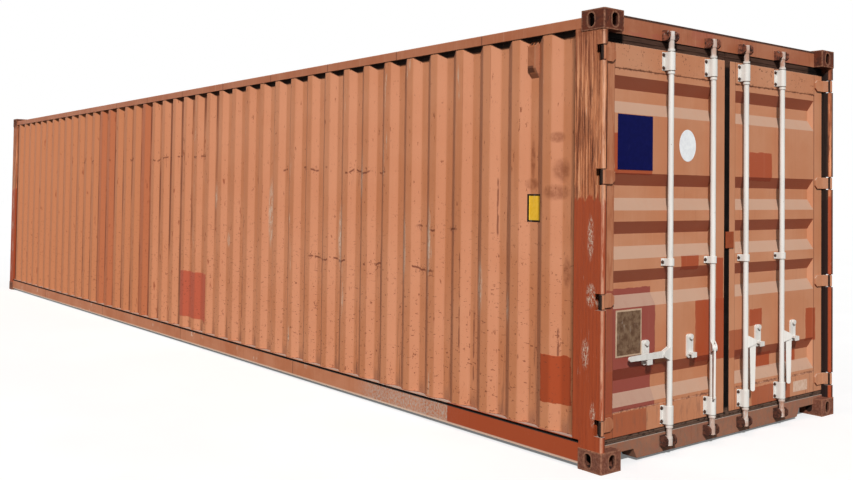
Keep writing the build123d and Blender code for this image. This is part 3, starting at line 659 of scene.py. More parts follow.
def vent_paint():
    """Painted hood with air holes at its top and a band low on the hood, both laid dark as painted shade,
    a shaded sill and a worn rim.
    """
    paint = Finish("vent_paint")
    paint.coat(9, 1.5, colour(156, 90, 56), colour(172, 106, 70), 0.55)
    weathering(paint, 0.6)
    aside = (vent_low.x - vent_high.x + VENT_WIDTH) / 2
    middle = paint.y.sign() * aside + (vent_low.x + vent_high.x) / 2
    across = (paint.x - middle) / VENT_WIDTH
    height = (paint.z - vent_low.z) / (vent_high.z - vent_low.z)
    paint.lay(paint.rise(across, 0.3, 0.38) * 0.2, CHALKY, 0.6)
    paint.lay(paint.rise(height, 0.14, 0.1) * 0.6, colour(118, 70, 48), 0.7)
    # Painted shade: a dark band low on the hood
    paint.lay(paint.near(height, 0.24, 0.08, 0.02) * paint.rise(across, 0.25, 0.15) * 0.8, DARK_RUST_AND_SHADE, 0.8)
    # Painted shade: the air holes laid near black
    holes = paint.near(abs(across), 0.22, 0.1, 0.03) * paint.near(height, 0.93, 0.03, 0.01)
    paint.lay(holes, SHADE_BLACK, 0.95, -1.0)
    return paint.close()


RAIL_SEAM, RAIL_LENGTH = -3.1, 2.3
RAIL_REPAINT_START = 4.71
MOTTLED_RAIL = (3.9, RAIL_REPAINT_START)
SLOT_LEVEL, SLOT_HEIGHT = 0.149, 0.0165


def bottom_rail_paint():
    """Scuffed rail with a repainted length towards the doors and a pale worn foot."""
    paint = Finish("bottom_rail_paint")
    paint.coat(3.0, 1.5, colour(178, 108, 72), colour(190, 124, 90), 0.55)
    weathering(paint, 0.7)
    mottled = paint.between(paint.x, MOTTLED_RAIL, 0.35) * paint.flecks((70, 70, 50), 21.0, 0.4, 0.62)
    paint.lay(mottled * 0.8, DUST, 0.75)
    rubbed = paint.flecks((6, 6, 3), 27.0, 0.6, 0.66) * paint.flecks((60, 60, 12), 29.0, 0.4, 0.6)
    paint.lay(rubbed * 0.8, PALE_SPECK, 0.7)
    seams = ((paint.x - RAIL_SEAM) / RAIL_LENGTH).fraction()
    paint.lay(paint.near(seams, 0.5, 0.001, 0.002) * 0.7, DARK_RUST_AND_SHADE, 0.9)
    repaint = paint.rise(paint.x, RAIL_REPAINT_START, RAIL_REPAINT_START + 0.01)
    paint.lay(repaint * 0.95, FRESH, 0.5, 0.3)
    slot = paint.near(paint.z, SLOT_LEVEL, SLOT_HEIGHT / 2, 0.0005)
    foot = paint.rise(paint.z, 0.04, 0.032) * paint.rise(paint.facing[2], -0.6, -0.3)
    paint.lay(foot * 0.85, colour(218, 190, 168), 0.6)
    settle_dust_and_shade(paint)
    # Painted shade, near black, in the slot under the wall's foot
    paint.lay(slot * 0.97, SHADE_BLACK, 0.95)
    return paint.close()


def end_frame_paint():
    paint = Finish("end_frame_paint")
    paint.coat(3.0, 4.5, colour(158, 92, 62), colour(168, 106, 76), 0.6, (0.4, 0.6))
    weathering(paint, 0.9)
    paint.lay(paint.flecks((1, 2.6, 6), 63.0, 0.55, 0.6) * 0.45, colour(160, 84, 68), 0.55)
    dusty = 0.55 + paint.flecks((30, 30, 20), 67.0, 0.4, 0.65) * 0.45
    paint.lay(paint.rise(paint.z, 0.3, 0.1) * dusty, colour(134, 98, 80), 0.75)
    runs = paint.flecks((50, 50, 4), 71.0, 0.58, 0.7)
    paint.lay(runs * 0.6, RUST, 0.8)
    # Painted shadow, near black, along the top of the header under the roof's edge
    edge = paint.rise(paint.z, HEADER_TOP - 0.016, HEADER_TOP - 0.012)
    paint.lay(edge * 0.85, SHADE_BLACK, 0.85)
    settle_dust_and_shade(paint)
    return paint.close()


# Doors as the photograph shows them: widths from the middle seam, then heights
DOOR_PATCHES = (
    (-1.115, -0.688, 0.31, 1.001, REPAIR_PURPLE),
    (-0.296, -0.007, 0.514, 0.896, FRESH),
    (0.272, 0.53, 1.648, 1.835, FRESH),
    (0.278, 0.416, 0.694, 0.798, FRESH),
    (0.956, 1.074, 0.534, 0.76, FRESH),
    (-1.052, -1.02, 1.68, 1.9, FRESH),
    (-1.04, -0.72, 1.665, 1.7, FRESH),
    (-0.44, -0.27, 1.09, 1.18, FRESH),
    (-0.09, -0.02, 0.82, 1.15, FRESH),
    (-1.15, -0.765, 0.16, 0.3, colour(160, 84, 52)),
    (-1.15, -1.061, 0.275, 0.544, colour(150, 66, 44)),
    (0.3, 0.751, 0.16, 0.285, colour(162, 84, 52)),
    (0.05, 0.197, 0.505, 0.679, colour(160, 84, 52)),
    (0.4, 0.56, 0.4, 0.5, FRESH),
    (0.7, 0.875, 0.404, 0.48, FRESH),
)


def door_paint(name, patches):
    """Faded leaf with dust on the ribs' upper slopes, shade under them, painted shade on what looks down
    and on the leaf's edges, and repainted patches.
    """
    paint = Finish(name)
    paint.coat(1.8, 8.0, DOOR_WARM, DOOR_FLAT, 0.55)
    ragged = (paint.noise(18, 71.0, 4) - 0.5) * 0.02
    for *box, over in patches:
        paint.lay(paint.patch(paint.y, box, ragged) * 0.92, over, 0.5, 0.3)
    weathering(paint, 0.35)
    looks_up = paint.facing[2]
    chalk = paint.flecks((14, 14, 3), 81.0, 0.2, 0.55)
    paint.lay(paint.rise(looks_up, 0.2, 0.44) * (0.62 + chalk * 0.14), DOOR_DUST, 0.75)
    paint.lay(paint.rise(looks_up, -0.2, -0.44) * 0.75, DOOR_SHADE, 0.5)
    across = abs(paint.y)
    inside = paint.between(across, (WINDOW_INNER, WINDOW_OUTER), 0.004)
    jagged = paint.z + (paint.noise((40, 40, 1), 85.0, 5) - 0.5) * 0.03
    broken = paint.flecks((18, 18, 2), 87.0, 0.38, 0.62)
    for level in (WINDOW_BOTTOM, WINDOW_TOP):
        crack = paint.near(jagged, level, 0.004, 0.005) * inside
        paint.lay(crack * broken * 0.75, colour(92, 46, 30), 0.9, -0.5)
    for edge in (WINDOW_INNER, WINDOW_OUTER):
        paint.lay(paint.near(across, edge, 0.002, 0.003) * 0.5, DARK_RUST_AND_SHADE, 0.85)
    high = paint.rise(paint.z, WINDOW_TOP - 0.05, DOOR_TOP - 0.05)
    paint.lay(high * paint.flecks(52, 91.0, 0.61, 0.66, 4) * 0.85, DARK_RUST_AND_SHADE, 0.9, -0.4)
    paint.lay(high * paint.flecks((60, 60, 3), 93.0, 0.62, 0.74) * 0.5, RUST, 0.8)
    low = paint.rise(paint.z, 0.42, 0.2)
    paint.lay(low * paint.flecks((40, 40, 8), 95.0, 0.5, 0.7) * 0.5, STAIN_AND_SHADE, 0.8)
    border = paint.rise(across, WINDOW_OUTER, WINDOW_OUTER + 0.004) * paint.rise(paint.y, 0, -0.1)
    rusty = 0.3 + paint.flecks((30, 30, 4), 99.0, 0.42, 0.62) * 0.4
    paint.lay(border * rusty, colour(152, 80, 46), 0.75)
    # Painted shade, near black, on what looks down
    paint.lay(paint.rise(looks_up, -0.7, -0.95) * 0.9, SHADE_BLACK, 0.9)
    # Painted shade, near black, on the edge faces of the leaf in the gaps at the seam and at the hinge
    # side
    edge = paint.rise(across, max(LEAF_SEAMS) + 0.01, max(LEAF_SEAMS) + 0.004)
    edge = edge.most(paint.rise(across, LEAF_EDGE - 0.004, LEAF_EDGE - 0.002))
    paint.lay(edge * paint.rise(abs(paint.facing[1]), 0.6, 0.9) * 0.97, SHADE_BLACK, 0.9)
    return paint.close()


def casting_rust():
    """Rusty cast steel, rubbed pale along its edges and round its lashing holes, with painted shade
    inside the holes.
    """
    steel = Finish("casting_rust")
    rough = steel.rise(steel.noise(24, 6.0, 6, 0.7), 0.35, 0.7)
    steel.start(rough, colour(100, 48, 30), colour(74, 41, 31), 0.85)
    steel.lay(steel.flecks(60, 3.0, 0.56, 0.68) * 0.7, colour(136, 84, 60), 0.8)
    steel.lay(steel.flecks(9, 12.0, 0.55, 0.68, 4) * 0.6, colour(52, 34, 28), 0.9)
    dusty = steel.rise(steel.z, 0.4, 0.2) * (0.25 + steel.flecks(70, 27.0, 0.42, 0.6) * 0.5)
    steel.lay(dusty, colour(140, 92, 74), 0.85)
    inwards = (
        END_X - abs(steel.x),
        SIDE_Y - abs(steel.y),
        steel.z.least(ROOF_Z - steel.z),
    )
    ends = [
        steel.rise(depth, 0.012, 0.003).most(steel.rise(depth, size - 0.01, size - 0.003))
        for depth, size in zip(inwards, CASTING_SIZE)
    ]
    edge = (ends[0] * ends[1]).most(ends[0] * ends[2]).most(ends[1] * ends[2])
    steel.lay(edge * steel.flecks(50, 17.0, 0.35, 0.6) * 0.75, colour(160, 112, 86), 0.7)
    upright = (abs(inwards[2] - LASH_HOLE_PLACE[2]) - LASH_HOLE_STRAIGHT).most(0.0)
    for axis in (0, 1):
        across = inwards[1 - axis] - LASH_HOLE_PLACE[1 - axis]
        away = (across * across + upright * upright).root() - LASH_HOLE_RADIUS
        rim = steel.near(away, 0.003, 0.004, 0.004) * steel.rise(inwards[axis], 0.006, 0.002)
        steel.lay(rim * steel.flecks(70, 23.0, 0.3, 0.55) * 0.7, colour(150, 104, 80), 0.7, 0.4)
        # Painted shade, near black, inside the lashing holes
        inside = steel.rise(inwards[axis], 0.004, 0.018) * steel.rise(away, 0.002, -0.001)
        steel.lay(inside * 0.9, SHADE_BLACK, 0.9)
    steel.height = steel.noise(120, 4.0, 5, 0.7) + steel.height
    return steel.close(specular=0.2)


BAR_FOOT = (0.19, 0.16)


def gear_paint():
    """White paint of the bars, guides and handles, rubbed to rust at the ends of the bars."""
    gear = Finish("white_gear_paint")
    streaks = gear.rise(gear.noise((30, 30, 2), 2.0), 0.4, 0.7)
    gear.start(streaks, colour(212, 208, 201), colour(223, 220, 214), 0.5)
    gear.lay(gear.flecks((20, 20, 3), 9.0, 0.58, 0.75) * 0.4, colour(160, 146, 132), 0.6)
    neck = gear.rise(gear.z, DOOR_TOP - 0.01, DOOR_TOP + 0.02).most(gear.rise(gear.z, *BAR_FOOT))
    worn = 0.4 + gear.rise(gear.y, -0.8, 0.3) * 0.5
    gear.lay(neck * worn * gear.flecks((26, 26, 10), 29.0, 0.3, 0.55), colour(168, 118, 92), 0.7)
    gear.lay(gear.flecks(80, 5.0, 0.66, 0.71) * 0.8, RUST, 0.8, -0.5)
    gear.lay(gear.flecks((50, 50, 4), 33.0, 0.68, 0.76) * 0.5, RUST, 0.8)
    # Painted shade on what looks down
    gear.lay(gear.rise(gear.facing[2], -0.6, -0.9) * 0.8, STAIN_AND_SHADE, 0.85)
    gear.height = gear.noise(160, 4.0, 3) * 0.3 + gear.height
    return gear.close()


def keeper_rust():
    steel = Finish("rusty_keepers")
    rough = steel.rise(steel.noise(30, 6.0, 6, 0.7), 0.4, 0.6)
    steel.start(rough, colour(104, 56, 40), colour(140, 84, 62), 0.8)
    steel.lay(steel.flecks(44, 13.0, 0.48, 0.6), colour(58, 34, 27), 0.85)
    steel.lay(steel.flecks(70, 3.0, 0.62, 0.68) * 0.8, colour(206, 196, 184), 0.6)
    steel.lay(steel.rise(steel.z, 0.4, 0.2) * 0.6, colour(48, 32, 27), 0.9)
    # Painted shade, near black, on what looks down
    steel.lay(steel.rise(steel.facing[2], -0.1, -0.7) * 0.9, SHADE_BLACK, 0.9)
    steel.height = steel.noise(120, 4.0, 5, 0.7)
    return steel.close(specular=0.25)


def bolt_steel():
    steel = Finish("dark_bolt_steel")
    steel.coat(140, 2.0, colour(58, 42, 36), colour(92, 66, 54), 0.6, (0.4, 0.6))
    steel.lay(steel.flecks(260, 7.0, 0.58, 0.68), colour(128, 78, 54), 0.8)
    steel.height = steel.noise(300, 4.0, 4)
    return steel.close(specular=0.4, relief=0.0005, metallic=0.3)


def weld_paint():
    paint = Finish("painted_weld")
    paint.coat(26, 2.0, colour(136, 76, 50), colour(178, 112, 80), 0.65, (0.4, 0.65))
    paint.lay(paint.flecks(60, 5.0, 0.52, 0.66), DARK_RUST_AND_SHADE, 0.85)
    paint.height = paint.noise(220, 4.0, 4)
    return paint.close(relief=0.001)


DUSTY_HEAD_END = (1.0, 0.97)
DUSTY_FOOT_TOP = (0.2, 0.18)


def gasket_rubber():
    """Black rubber, brown with dust over the doors and grey with it along their foot."""
    rubber = Finish("gasket_rubber")
    rubber.coat(14, 2.0, colour(13, 10, 9), colour(26, 20, 18), 0.8, (0.4, 0.7))
    rubber.lay(rubber.flecks((20, 20, 40), 9.0, 0.58, 0.72) * 0.4, colour(62, 47, 40), 0.85)
    head = rubber.rise(rubber.z, DOOR_TOP - 0.05, DOOR_TOP - 0.03)
    # The dust stops short of the ends of the head, which stay black as painted shade under the top
    # castings
    head = head * rubber.rise(abs(rubber.y), *DUSTY_HEAD_END)
    dusty = 0.5 + rubber.flecks((5, 5, 60), 17.0, 0.35, 0.6) * 0.5
    rubber.lay(head * dusty, colour(78, 55, 45), 0.85)
    foot = rubber.rise(rubber.z, *DUSTY_FOOT_TOP)
    rubber.lay(foot * rubber.flecks((26, 26, 60), 13.0, 0.3, 0.55) * 0.85, colour(104, 80, 67), 0.85)
    rubber.height = rubber.noise(90, 5.0, 4) * 0.5
    return rubber.close(specular=0.06)


def floor_ply():
    wood = Finish("floor_plywood")
    grain = wood.noise((1.2, 30, 30), 2.0, 6, 0.65)
    wood.start(wood.rise(grain, 0.35, 0.68), colour(118, 84, 58), colour(156, 118, 84), 0.7)
    wood.lay(wood.flecks(5, 8.0, 0.55, 0.75) * 0.5, colour(72, 54, 42), 0.8)
    wood.lay(wood.flecks((3, 90, 90), 15.0, 0.62, 0.7) * 0.6, colour(88, 62, 44), 0.8, -0.5)
    wood.height = grain + wood.height
    return wood.close(specular=0.25)


def underframe_paint():
    paint = Finish("underframe_paint")
    paint.coat(8, 2.0, colour(46, 36, 32), colour(78, 56, 45), 0.85, (0.4, 0.65))
    paint.lay(paint.flecks(30, 5.0, 0.56, 0.7) * 0.6, RUST, 0.9)
    paint.lay(paint.flecks((4, 4, 30), 9.0, 0.6, 0.72) * 0.5, STAIN_AND_SHADE, 0.9)
    paint.height = paint.noise(90, 4.0, 5)
    return paint.close(specular=0.2)


def plate_enamel(name, base, worn, amount):
    """Enamel of a blank plate: slightly clouded, dusty and chipped."""
    enamel = Finish(name)
    enamel.coat(30, 3.0, base, worn, 0.4, (0.3, 0.7))
    enamel.lay(enamel.flecks((40, 40, 12), 7.0, 0.6, 0.75) * amount, DUST, 0.6)
    enamel.lay(enamel.flecks(120, 11.0, 0.68, 0.73) * amount, RUST, 0.8, -0.4)
    enamel.height = enamel.noise(300, 4.0, 3) * 0.2 + enamel.height
    return enamel.close(specular=0.04, relief=0.0006)


# Floor and sky


def grey(level):
    return (level, level, level, 1)


def pale_floor():
    """Pale to the camera, darker to the light that it throws back."""
    ground = Finish("pale_floor")
    seen = ground.node("ShaderNodeLightPath", output="Is Camera Ray")
    clouds = ground.rise(ground.noise(0.6, 2.0), 0.4, 0.7)
    shown = ground.mix(clouds, grey(FLOOR_SHOWN), grey(FLOOR_SHOWN + 0.04))
    ground.start(seen, grey(FLOOR_BOUNCE), shown, 0.8)
    return ground.close(specular=0.0, glow=ground.mix(seen, grey(0), grey(FLOOR_GLOW)))


def lay_floor():
    half = FLOOR_HALF
    corners = [(-half, -half, 0), (half, -half, 0), (half, half, 0), (-half, half, 0)]
    add_mesh("studio_floor", corners, [(0, 1, 2, 3)], pale_floor())


def light_sky():
    """White to the camera, in reflections and through glass, softer as light."""
    world = bpy.data.worlds.new("studio_sky")
    world.use_nodes = True
    bpy.context.scene.world = world
    sky = Nodes(world.node_tree)
    camera = sky.node("ShaderNodeLightPath", output="Is Camera Ray")
    seen = camera.most(camera.beside("Is Glossy Ray")).most(camera.beside("Is Transmission Ray"))
    light = {"Color": grey(1), "Strength": SKY_STRENGTH + seen * (1 - SKY_STRENGTH)}
    lit = sky.node("ShaderNodeBackground", sockets=light)
    sky.node("ShaderNodeOutputWorld", sockets={"Surface": lit})


# Small pieces grown by Geometry Nodes


def grower(name, inputs):
    """Empty Geometry Nodes tree with a source, some inputs and a finish."""
    tree = bpy.data.node_groups.new(name, "GeometryNodeTree")
    kinds = {"Source": "Geometry", **{title: "Float" for title in inputs}, "Finish": "Material"}
    for title, kind in kinds.items():
        tree.interface.new_socket(title, in_out="INPUT", socket_type=f"NodeSocket{kind}")
    tree.interface.new_socket("Grown", in_out="OUTPUT", socket_type="NodeSocketGeometry")
    nodes = Nodes(tree)
    return nodes, nodes.node("NodeGroupInput", output="Source")


def grown(nodes, given, shape):
    """End a tree: real geometry with its finish."""
    real = nodes.node("GeometryNodeRealizeInstances", sockets={0: shape})
    finished = {"Geometry": real, "Material": given.beside("Finish")}
    nodes.node("NodeGroupOutput", sockets={0: nodes.node("GeometryNodeSetMaterial", sockets=finished)})
    return nodes.tree


def bolt_tree():
    """Hexagon heads on washers, one on each point of the source, standing out along +X."""
    nodes, given = grower("bolt_heads", ("Head Radius", "Head Depth", "Washer Radius", "Washer Depth"))
    head_depth, washer_depth = given.beside("Head Depth"), given.beside("Washer Depth")

    def disc(sides, radius, depth, middle):
        sockets = {"Vertices": sides, "Radius": given.beside(radius), "Depth": depth}
        drum = nodes.node("GeometryNodeMeshCylinder", sockets=sockets)
        lifted = nodes.node("ShaderNodeCombineXYZ", sockets={"Z": middle})
        return nodes.node("GeometryNodeTransform", sockets={"Geometry": drum, "Translation": lifted})

    head = disc(6, "Head Radius", head_depth, washer_depth + head_depth / 2)
    washer = disc(20, "Washer Radius", washer_depth, washer_depth / 2)
    bolt = nodes.node("GeometryNodeJoinGeometry", sockets={0: [head, washer]})
    sockets = {"Points": given, "Instance": bolt, "Rotation": (0, pi / 2, 0)}
    placed = nodes.node("GeometryNodeInstanceOnPoints", sockets=sockets)
    spin = nodes.node("FunctionNodeRandomValue", {"data_type": "FLOAT"}, {2: 0.0, 3: pi / 3, 8: 5}, 1)
    turned = nodes.node("ShaderNodeCombineXYZ", sockets={"Z": spin})
    sockets = {"Instances": placed, "Rotation": turned, "Local Space": True}
    return grown(nodes, given, nodes.node("GeometryNodeRotateInstances", sockets=sockets))


def bead_tree():
    """Round bead along the edges of the source, rippled as a weld is."""
    nodes, given = grower("bead_on_path", ("Radius", "Step", "Ripple"))
    path = nodes.node("GeometryNodeMeshToCurve", sockets={"Mesh": given})
    sockets = {"Curve": path, "Length": given.beside("Step")}
    even = nodes.node("GeometryNodeResampleCurve", {"mode": "LENGTH"}, sockets)
    sockets = {"Resolution": 8, "Radius": given.beside("Radius")}
    ring = nodes.node("GeometryNodeCurvePrimitiveCircle", {"mode": "RADIUS"}, sockets)
    sockets = {"Curve": even, "Profile Curve": ring, "Fill Caps": True}
    tube = nodes.node("GeometryNodeCurveToMesh", sockets=sockets)
    lumps = nodes.node("ShaderNodeTexNoise", sockets={"Scale": 90.0, "Detail": 1.0})
    sockets = {0: nodes.node("GeometryNodeInputNormal"), "Scale": (lumps - 0.5) * given.beside("Ripple")}
    push = nodes.node("ShaderNodeVectorMath", {"operation": "SCALE"}, sockets)
    lumpy = nodes.node("GeometryNodeSetPosition", sockets={"Geometry": tube, "Offset": push})
    return grown(nodes, given, nodes.node("GeometryNodeSetShadeSmooth", sockets={"Geometry": lumpy}))


def grow(name, body, slot, tree, points, edges, values):
    """Grow one piece from points and edges, as a plain mesh that rides on a body."""
    source = bpy.data.meshes.new(name)
    source.from_pydata(points, edges, [])
    piece = add_object(name, source)
    modifier = piece.modifiers.new("grow", "NODES")
    modifier.node_group = tree
    for item in tree.interface.items_tree:
        if item.in_out == "INPUT" and item.name in values:
            modifier[item.identifier] = values[item.name]
    ready = piece.evaluated_get(bpy.context.evaluated_depsgraph_get())
    mesh = bpy.data.meshes.new_from_object(ready)
    piece.modifiers.clear()
    piece.data = mesh
    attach(piece, body)


def chains(*paths):
    """Points and edges of several open paths."""
    points, edges = [], []
    for path in paths:
        first = len(points)
        points += path
        edges += [(first + step, first + step + 1) for step in range(len(path) - 1)]
    return points, edges


def bolt_places(bars):
    """Two bolts on each foot of the tall guides of some bars, one on each foot of the middle guide."""
    guides_low, guides_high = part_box("left_bar_guides")
    middle = MIDDLE_GUIDE + MIDDLE_GUIDE_HEIGHT / 2
    tall = (guides_low.z, guides_high.z - GUIDE_HEIGHT)
    levels = [level + edge for level in tall for edge in (BOLT_MARGIN, GUIDE_HEIGHT - BOLT_MARGIN)]
    return [
        (DOOR_FACE + GUIDE_FOOT, BAR_PLACES[f"lock_bar_{bar}"][1] + side * BOLT_ASIDE, level)
        for bar in bars
        for side in (-1, 1)
        for level in (*levels, middle)
    ]


def wall_foot(side):
    """Path along the foot of a corrugated side wall, just outside its sheet."""
    bend = TROUGH_BEND - CREST_BEND
    count = int((WALL_END - WALL_START - bend) // WALL_PITCH)
    outer, inner = -WALL_FACE, -WALL_BACK + WALL_SHEET
    path = [(WALL_START, side * inner, LEDGE_TOP)]
    for step in range(count):
        middle = WALL_MIDDLE + (step - (count - 1) / 2) * WALL_PITCH
        corners = ((-TROUGH_BEND, inner), (-CREST_BEND, outer), (CREST_BEND, outer), (TROUGH_BEND, inner))
        path += [(middle + along, side * across, LEDGE_TOP) for along, across in corners]
    return path + [(WALL_END, side * inner, LEDGE_TOP)]


def post_foot(side, level):
    """Path round the outside of a rear post where it stands on a casting."""
    outer = SIDE_Y - POST_INSET - BEAD_SINK
    plan = (
        (END_X - CASTING_SIZE[0], outer),
        (POST_FACE - POST_CORNER, outer),
        (POST_FACE, outer - POST_CORNER),
        (POST_FACE, SIDE_Y - POST_FRONT),
    )
    return [(x, side * y, level) for x, y in plan]


def gasket_lip(side):
    """Path up the hinge edge, over the head and down the foot of a door, along its gasket's face."""
    low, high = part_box(f"{side}_door_gasket")
    leaf_low, leaf_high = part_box(f"{side}_door_frame")
    foot, head = (low.z + leaf_low.z) / 2, (high.z + leaf_high.z) / 2
    outer, inner = (low.y, high.y) if side == "left" else (high.y, low.y)
    aside = LIP_ASIDE if side == "left" else -LIP_ASIDE
    ring = [(inner, foot), (outer + aside, foot), (outer + aside, head), (inner, head)]
    return [(high.x - LIP_SINK, y, z) for y, z in ring]


def add_small_pieces():
    bolts, beads = bolt_tree(), bead_tree()
    steel, weld, rubber = bolt_steel(), weld_paint(), gasket_rubber()
    values = {**BOLT_SIZES, "Finish": steel}
    for side, bars in (("left", (1, 2)), ("right", (3, 4))):
        grow(f"{side}_guide_bolts", f"{side}_door", "zinc_gear", bolts, bolt_places(bars), [], values)
    feet = [wall_foot(side) for side in (-1, 1)]
    levels = (CASTING_SIZE[2], CASTING_UNDERSIDE)
    posts = [post_foot(side, level) for side in (-1, 1) for level in levels]
    values = {**WELD_BEAD, "Finish": weld}
    grow("weld_beads", "container", "weathered_paint", beads, *chains(*feet, *posts), values)
    values = {**GASKET_BEAD, "Finish": rubber}
    for side in ("left", "right"):
        lip = gasket_lip(side)
        grow(f"{side}_gasket_lip", f"{side}_door", "black_rubber", beads, *chains(lip), values)
    return rubber


# Blank plates


def plate(name, body, outline, face, depth, material):
    """Thin plate with softened edges: an outline of (across, height) standing out from a door."""
    count = len(outline)
    points = [(face + out, a, h) for out in (0, depth) for a, h in outline]
    sides = [(i, (i + 1) % count, count + (i + 1) % count, count + i) for i in range(count)]
    back, front = tuple(reversed(range(count))), tuple(range(count, 2 * count))
    piece = add_mesh(name, points, [back, front, *sides], material)
    soft = piece.modifiers.new("soft_edges", "BEVEL")
    soft.width, soft.segments, soft.limit_method = depth / 3, 2, "ANGLE"
    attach(piece, body)


def wall_depth(x):
    """Depth of the outside of a side wall behind its crests."""
    along = (x - WALL_MIDDLE) / WALL_PITCH
    away = abs(along - round(along - 0.5) - 0.5) * WALL_PITCH
    share = (away - CREST_BEND) / (TROUGH_BEND - CREST_BEND)
    return WALL_DEPTH * min(max(share, 0), 1)


def wall_label(name, box, lift, material):
    """Thin label laid over the corrugation of the left wall."""
    start, stop, foot, top = box
    count = round((WALL_END - WALL_START) / WALL_PITCH)
    crests = [WALL_MIDDLE + (step + 0.5) * WALL_PITCH for step in range(-count, count)]
    places = (-TROUGH_BEND, -CREST_BEND, CREST_BEND, TROUGH_BEND)
    bends = [crest + place for crest in crests for place in places]
    columns = sorted([start, stop, *[bend for bend in bends if start < bend < stop]])
    points, faces = [], []
    for x in columns:
        y = WALL_FACE + wall_depth(x)
        points += [(x, y - out, z) for out in (0, lift) for z in (foot, top)]
    for first in range(0, 4 * len(columns) - 4, 4):
        ring = ((0, 1), (1, 3), (3, 2), (2, 0))
        faces += [(first + b, first + a, first + 4 + a, first + 4 + b) for a, b in ring]
    last = 4 * len(columns) - 4
    faces += [(0, 1, 3, 2), (last, last + 2, last + 3, last + 1)]
    piece = add_mesh(name, points, faces, material)
    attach(piece, "container")


def rectangle(from_a, to_a, from_z, to_z):
    return [(from_a, from_z), (to_a, from_z), (to_a, to_z), (from_a, to_z)]


def inset(box, margin):
    from_a, to_a, from_z, to_z = box
    return (from_a + margin, to_a - margin, from_z + margin, to_z - margin)


def oval(from_a, to_a, from_z, to_z, steps=40):
    middle, level = (from_a + to_a) / 2, (from_z + to_z) / 2
    half_a, half_z = (to_a - from_a) / 2, (to_z - from_z) / 2
    turns = [2 * pi * step / steps for step in range(steps)]
    return [(middle + half_a * cos(turn), level + half_z * sin(turn)) for turn in turns]


PLATE_DEPTH, LABEL_DEPTH = 0.003, 0.001
PLATE_RIM, LABEL_BORDER = 0.01, 0.011
DATA_PLATE = (-1.034, -0.81, 0.615, 0.884)
SIGN_PLATE = (-1.027, -0.718, 1.69, 2.011)
OVAL_LABEL = (-0.465, -0.303, 1.753, 1.95)
FOOT_LABEL = (0.793, 0.971, 0.195, 0.268)
HEIGHT_PLATE = (5.435, 5.558, 1.374, 1.543)


def add_plates():
    panel, over_panel = PANEL_FACE, PANEL_FACE + PLATE_DEPTH
    rim = plate_enamel("data_plate_rim", colour(178, 150, 124), colour(196, 168, 142), 0.5)
    brown = plate_enamel("data_plate_field", colour(92, 66, 50), colour(128, 102, 80), 0.7)
    plate("data_plate_rim", "left_door", rectangle(*DATA_PLATE), panel, PLATE_DEPTH, rim)
    field = rectangle(*inset(DATA_PLATE, PLATE_RIM))
    plate("data_plate_field", "left_door", field, over_panel, LABEL_DEPTH, brown)
    navy = plate_enamel("navy_enamel", colour(8, 12, 66), colour(12, 16, 74), 0.04)
    plate("blank_sign", "left_door", rectangle(*SIGN_PLATE), panel, PLATE_DEPTH, navy)
    white = plate_enamel("white_label", colour(226, 228, 230), colour(238, 240, 240), 0.15)
    plate("oval_label", "left_door", oval(*OVAL_LABEL), panel, LABEL_DEPTH, white)
    pale = plate_enamel("pale_label", colour(198, 160, 136), colour(214, 184, 162), 0.4)
    plate("foot_label", "right_door", rectangle(*FOOT_LABEL), DOOR_FACE, LABEL_DEPTH, pale)
    black = plate_enamel("black_border", colour(24, 20, 18), colour(44, 36, 30), 0.3)
    yellow = plate_enamel("yellow_enamel", colour(224, 172, 44), colour(232, 184, 62), 0.3)
    wall_label("height_label_border", HEIGHT_PLATE, LABEL_DEPTH, black)
    wall_label("height_label_field", inset(HEIGHT_PLATE, LABEL_BORDER), 2 * LABEL_DEPTH, yellow)


# Finishes and soft edges of the solids


def dress(material, *names):
    for name in names:
        mesh = frame["nodes"][name].data
        mesh.materials.clear()
        mesh.materials.append(material)


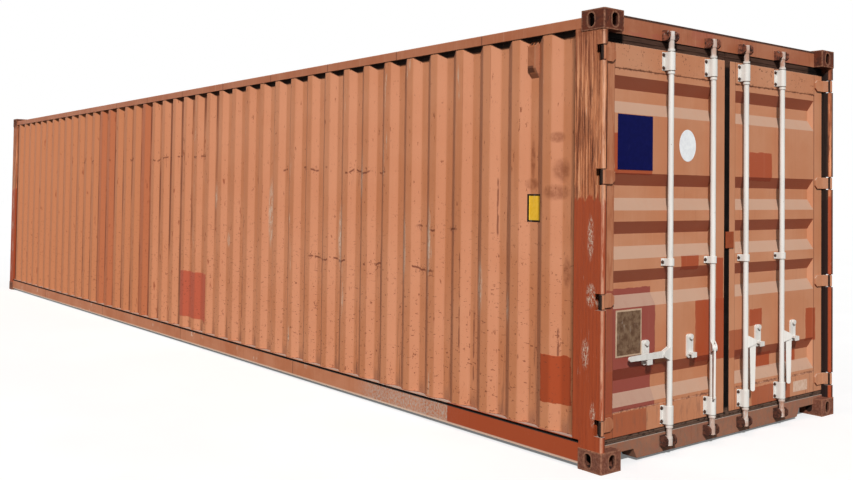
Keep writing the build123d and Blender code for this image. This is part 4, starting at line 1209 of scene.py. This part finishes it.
def soften(width, *names):
    """Round the edges of some solids, whose meshes are loose triangles until they are merged."""
    for name in names:
        node = frame["nodes"][name]
        node.modifiers.new("merge", "WELD").merge_threshold = MERGE_DISTANCE
        edges = node.modifiers.new("soft_edges", "BEVEL")
        edges.width, edges.segments, edges.limit_method = width, 2, "ANGLE"
        edges.angle_limit = SOFT_FROM_ANGLE


bpy.context.scene.view_settings.view_transform = "Standard"
place_camera()
place_sun()
light_sky()
lay_floor()

dress(left_wall_paint(), "side_wall_left")
dress(plain_wall_paint(), "side_wall_right")
dress(front_wall_paint(), "front_wall")
dress(post_paint(), "rear_corner_post_left", "rear_corner_post_right", "front_corner_posts", "hinge_lugs")
dress(top_rail_paint(), "top_side_rails", "front_top_rail")
dress(vent_paint(), "ventilators")
dress(bottom_rail_paint(), "bottom_side_rails", "front_bottom_rail")
dress(end_frame_paint(), "door_header", "door_sill")
dress(roof_paint(), "roof_panel")
dress(casting_rust(), "top_corner_castings", "bottom_corner_castings")
door_finish = door_paint("door_paint", DOOR_PATCHES)
hinge_finish = door_paint("hinge_paint", ())
gear_finish = gear_paint()
rubber_finish = add_small_pieces()
for side in ("left", "right"):
    dress(door_finish, f"{side}_door_frame", f"{side}_door_panel")
    dress(hinge_finish, f"{side}_hinge_blades")
    dress(gear_finish, f"{side}_bar_guides", f"{side}_handle_catches")
    dress(rubber_finish, f"{side}_door_gasket")
    soften(PLATE_SOFT, f"{side}_door_frame", f"{side}_hinge_blades")
    soften(PLATE_SOFT, f"{side}_bar_guides", f"{side}_handle_catches")
for number in (1, 2, 3, 4):
    dress(gear_finish, f"lock_bar_{number}", f"bar_handle_{number}")
    soften(GEAR_SOFT, f"lock_bar_{number}", f"bar_handle_{number}")
dress(plate_enamel("overlap_paint", colour(140, 66, 40), colour(150, 76, 48), 0.5), "overlap_plate")
dress(keeper_rust(), "cam_keepers", "hinge_pins")
dress(floor_ply(), "floor_boards")
underframe_finish = underframe_paint()
dress(underframe_finish, "cross_members", "gooseneck_tunnel")
dress(underframe_finish, "tunnel_outriggers_left", "tunnel_outriggers_right")
soften(CASTING_SOFT, "top_corner_castings", "bottom_corner_castings")
soften(PLATE_SOFT, "cam_keepers", "overlap_plate", "door_header", "door_sill", "top_side_rails")
add_plates()
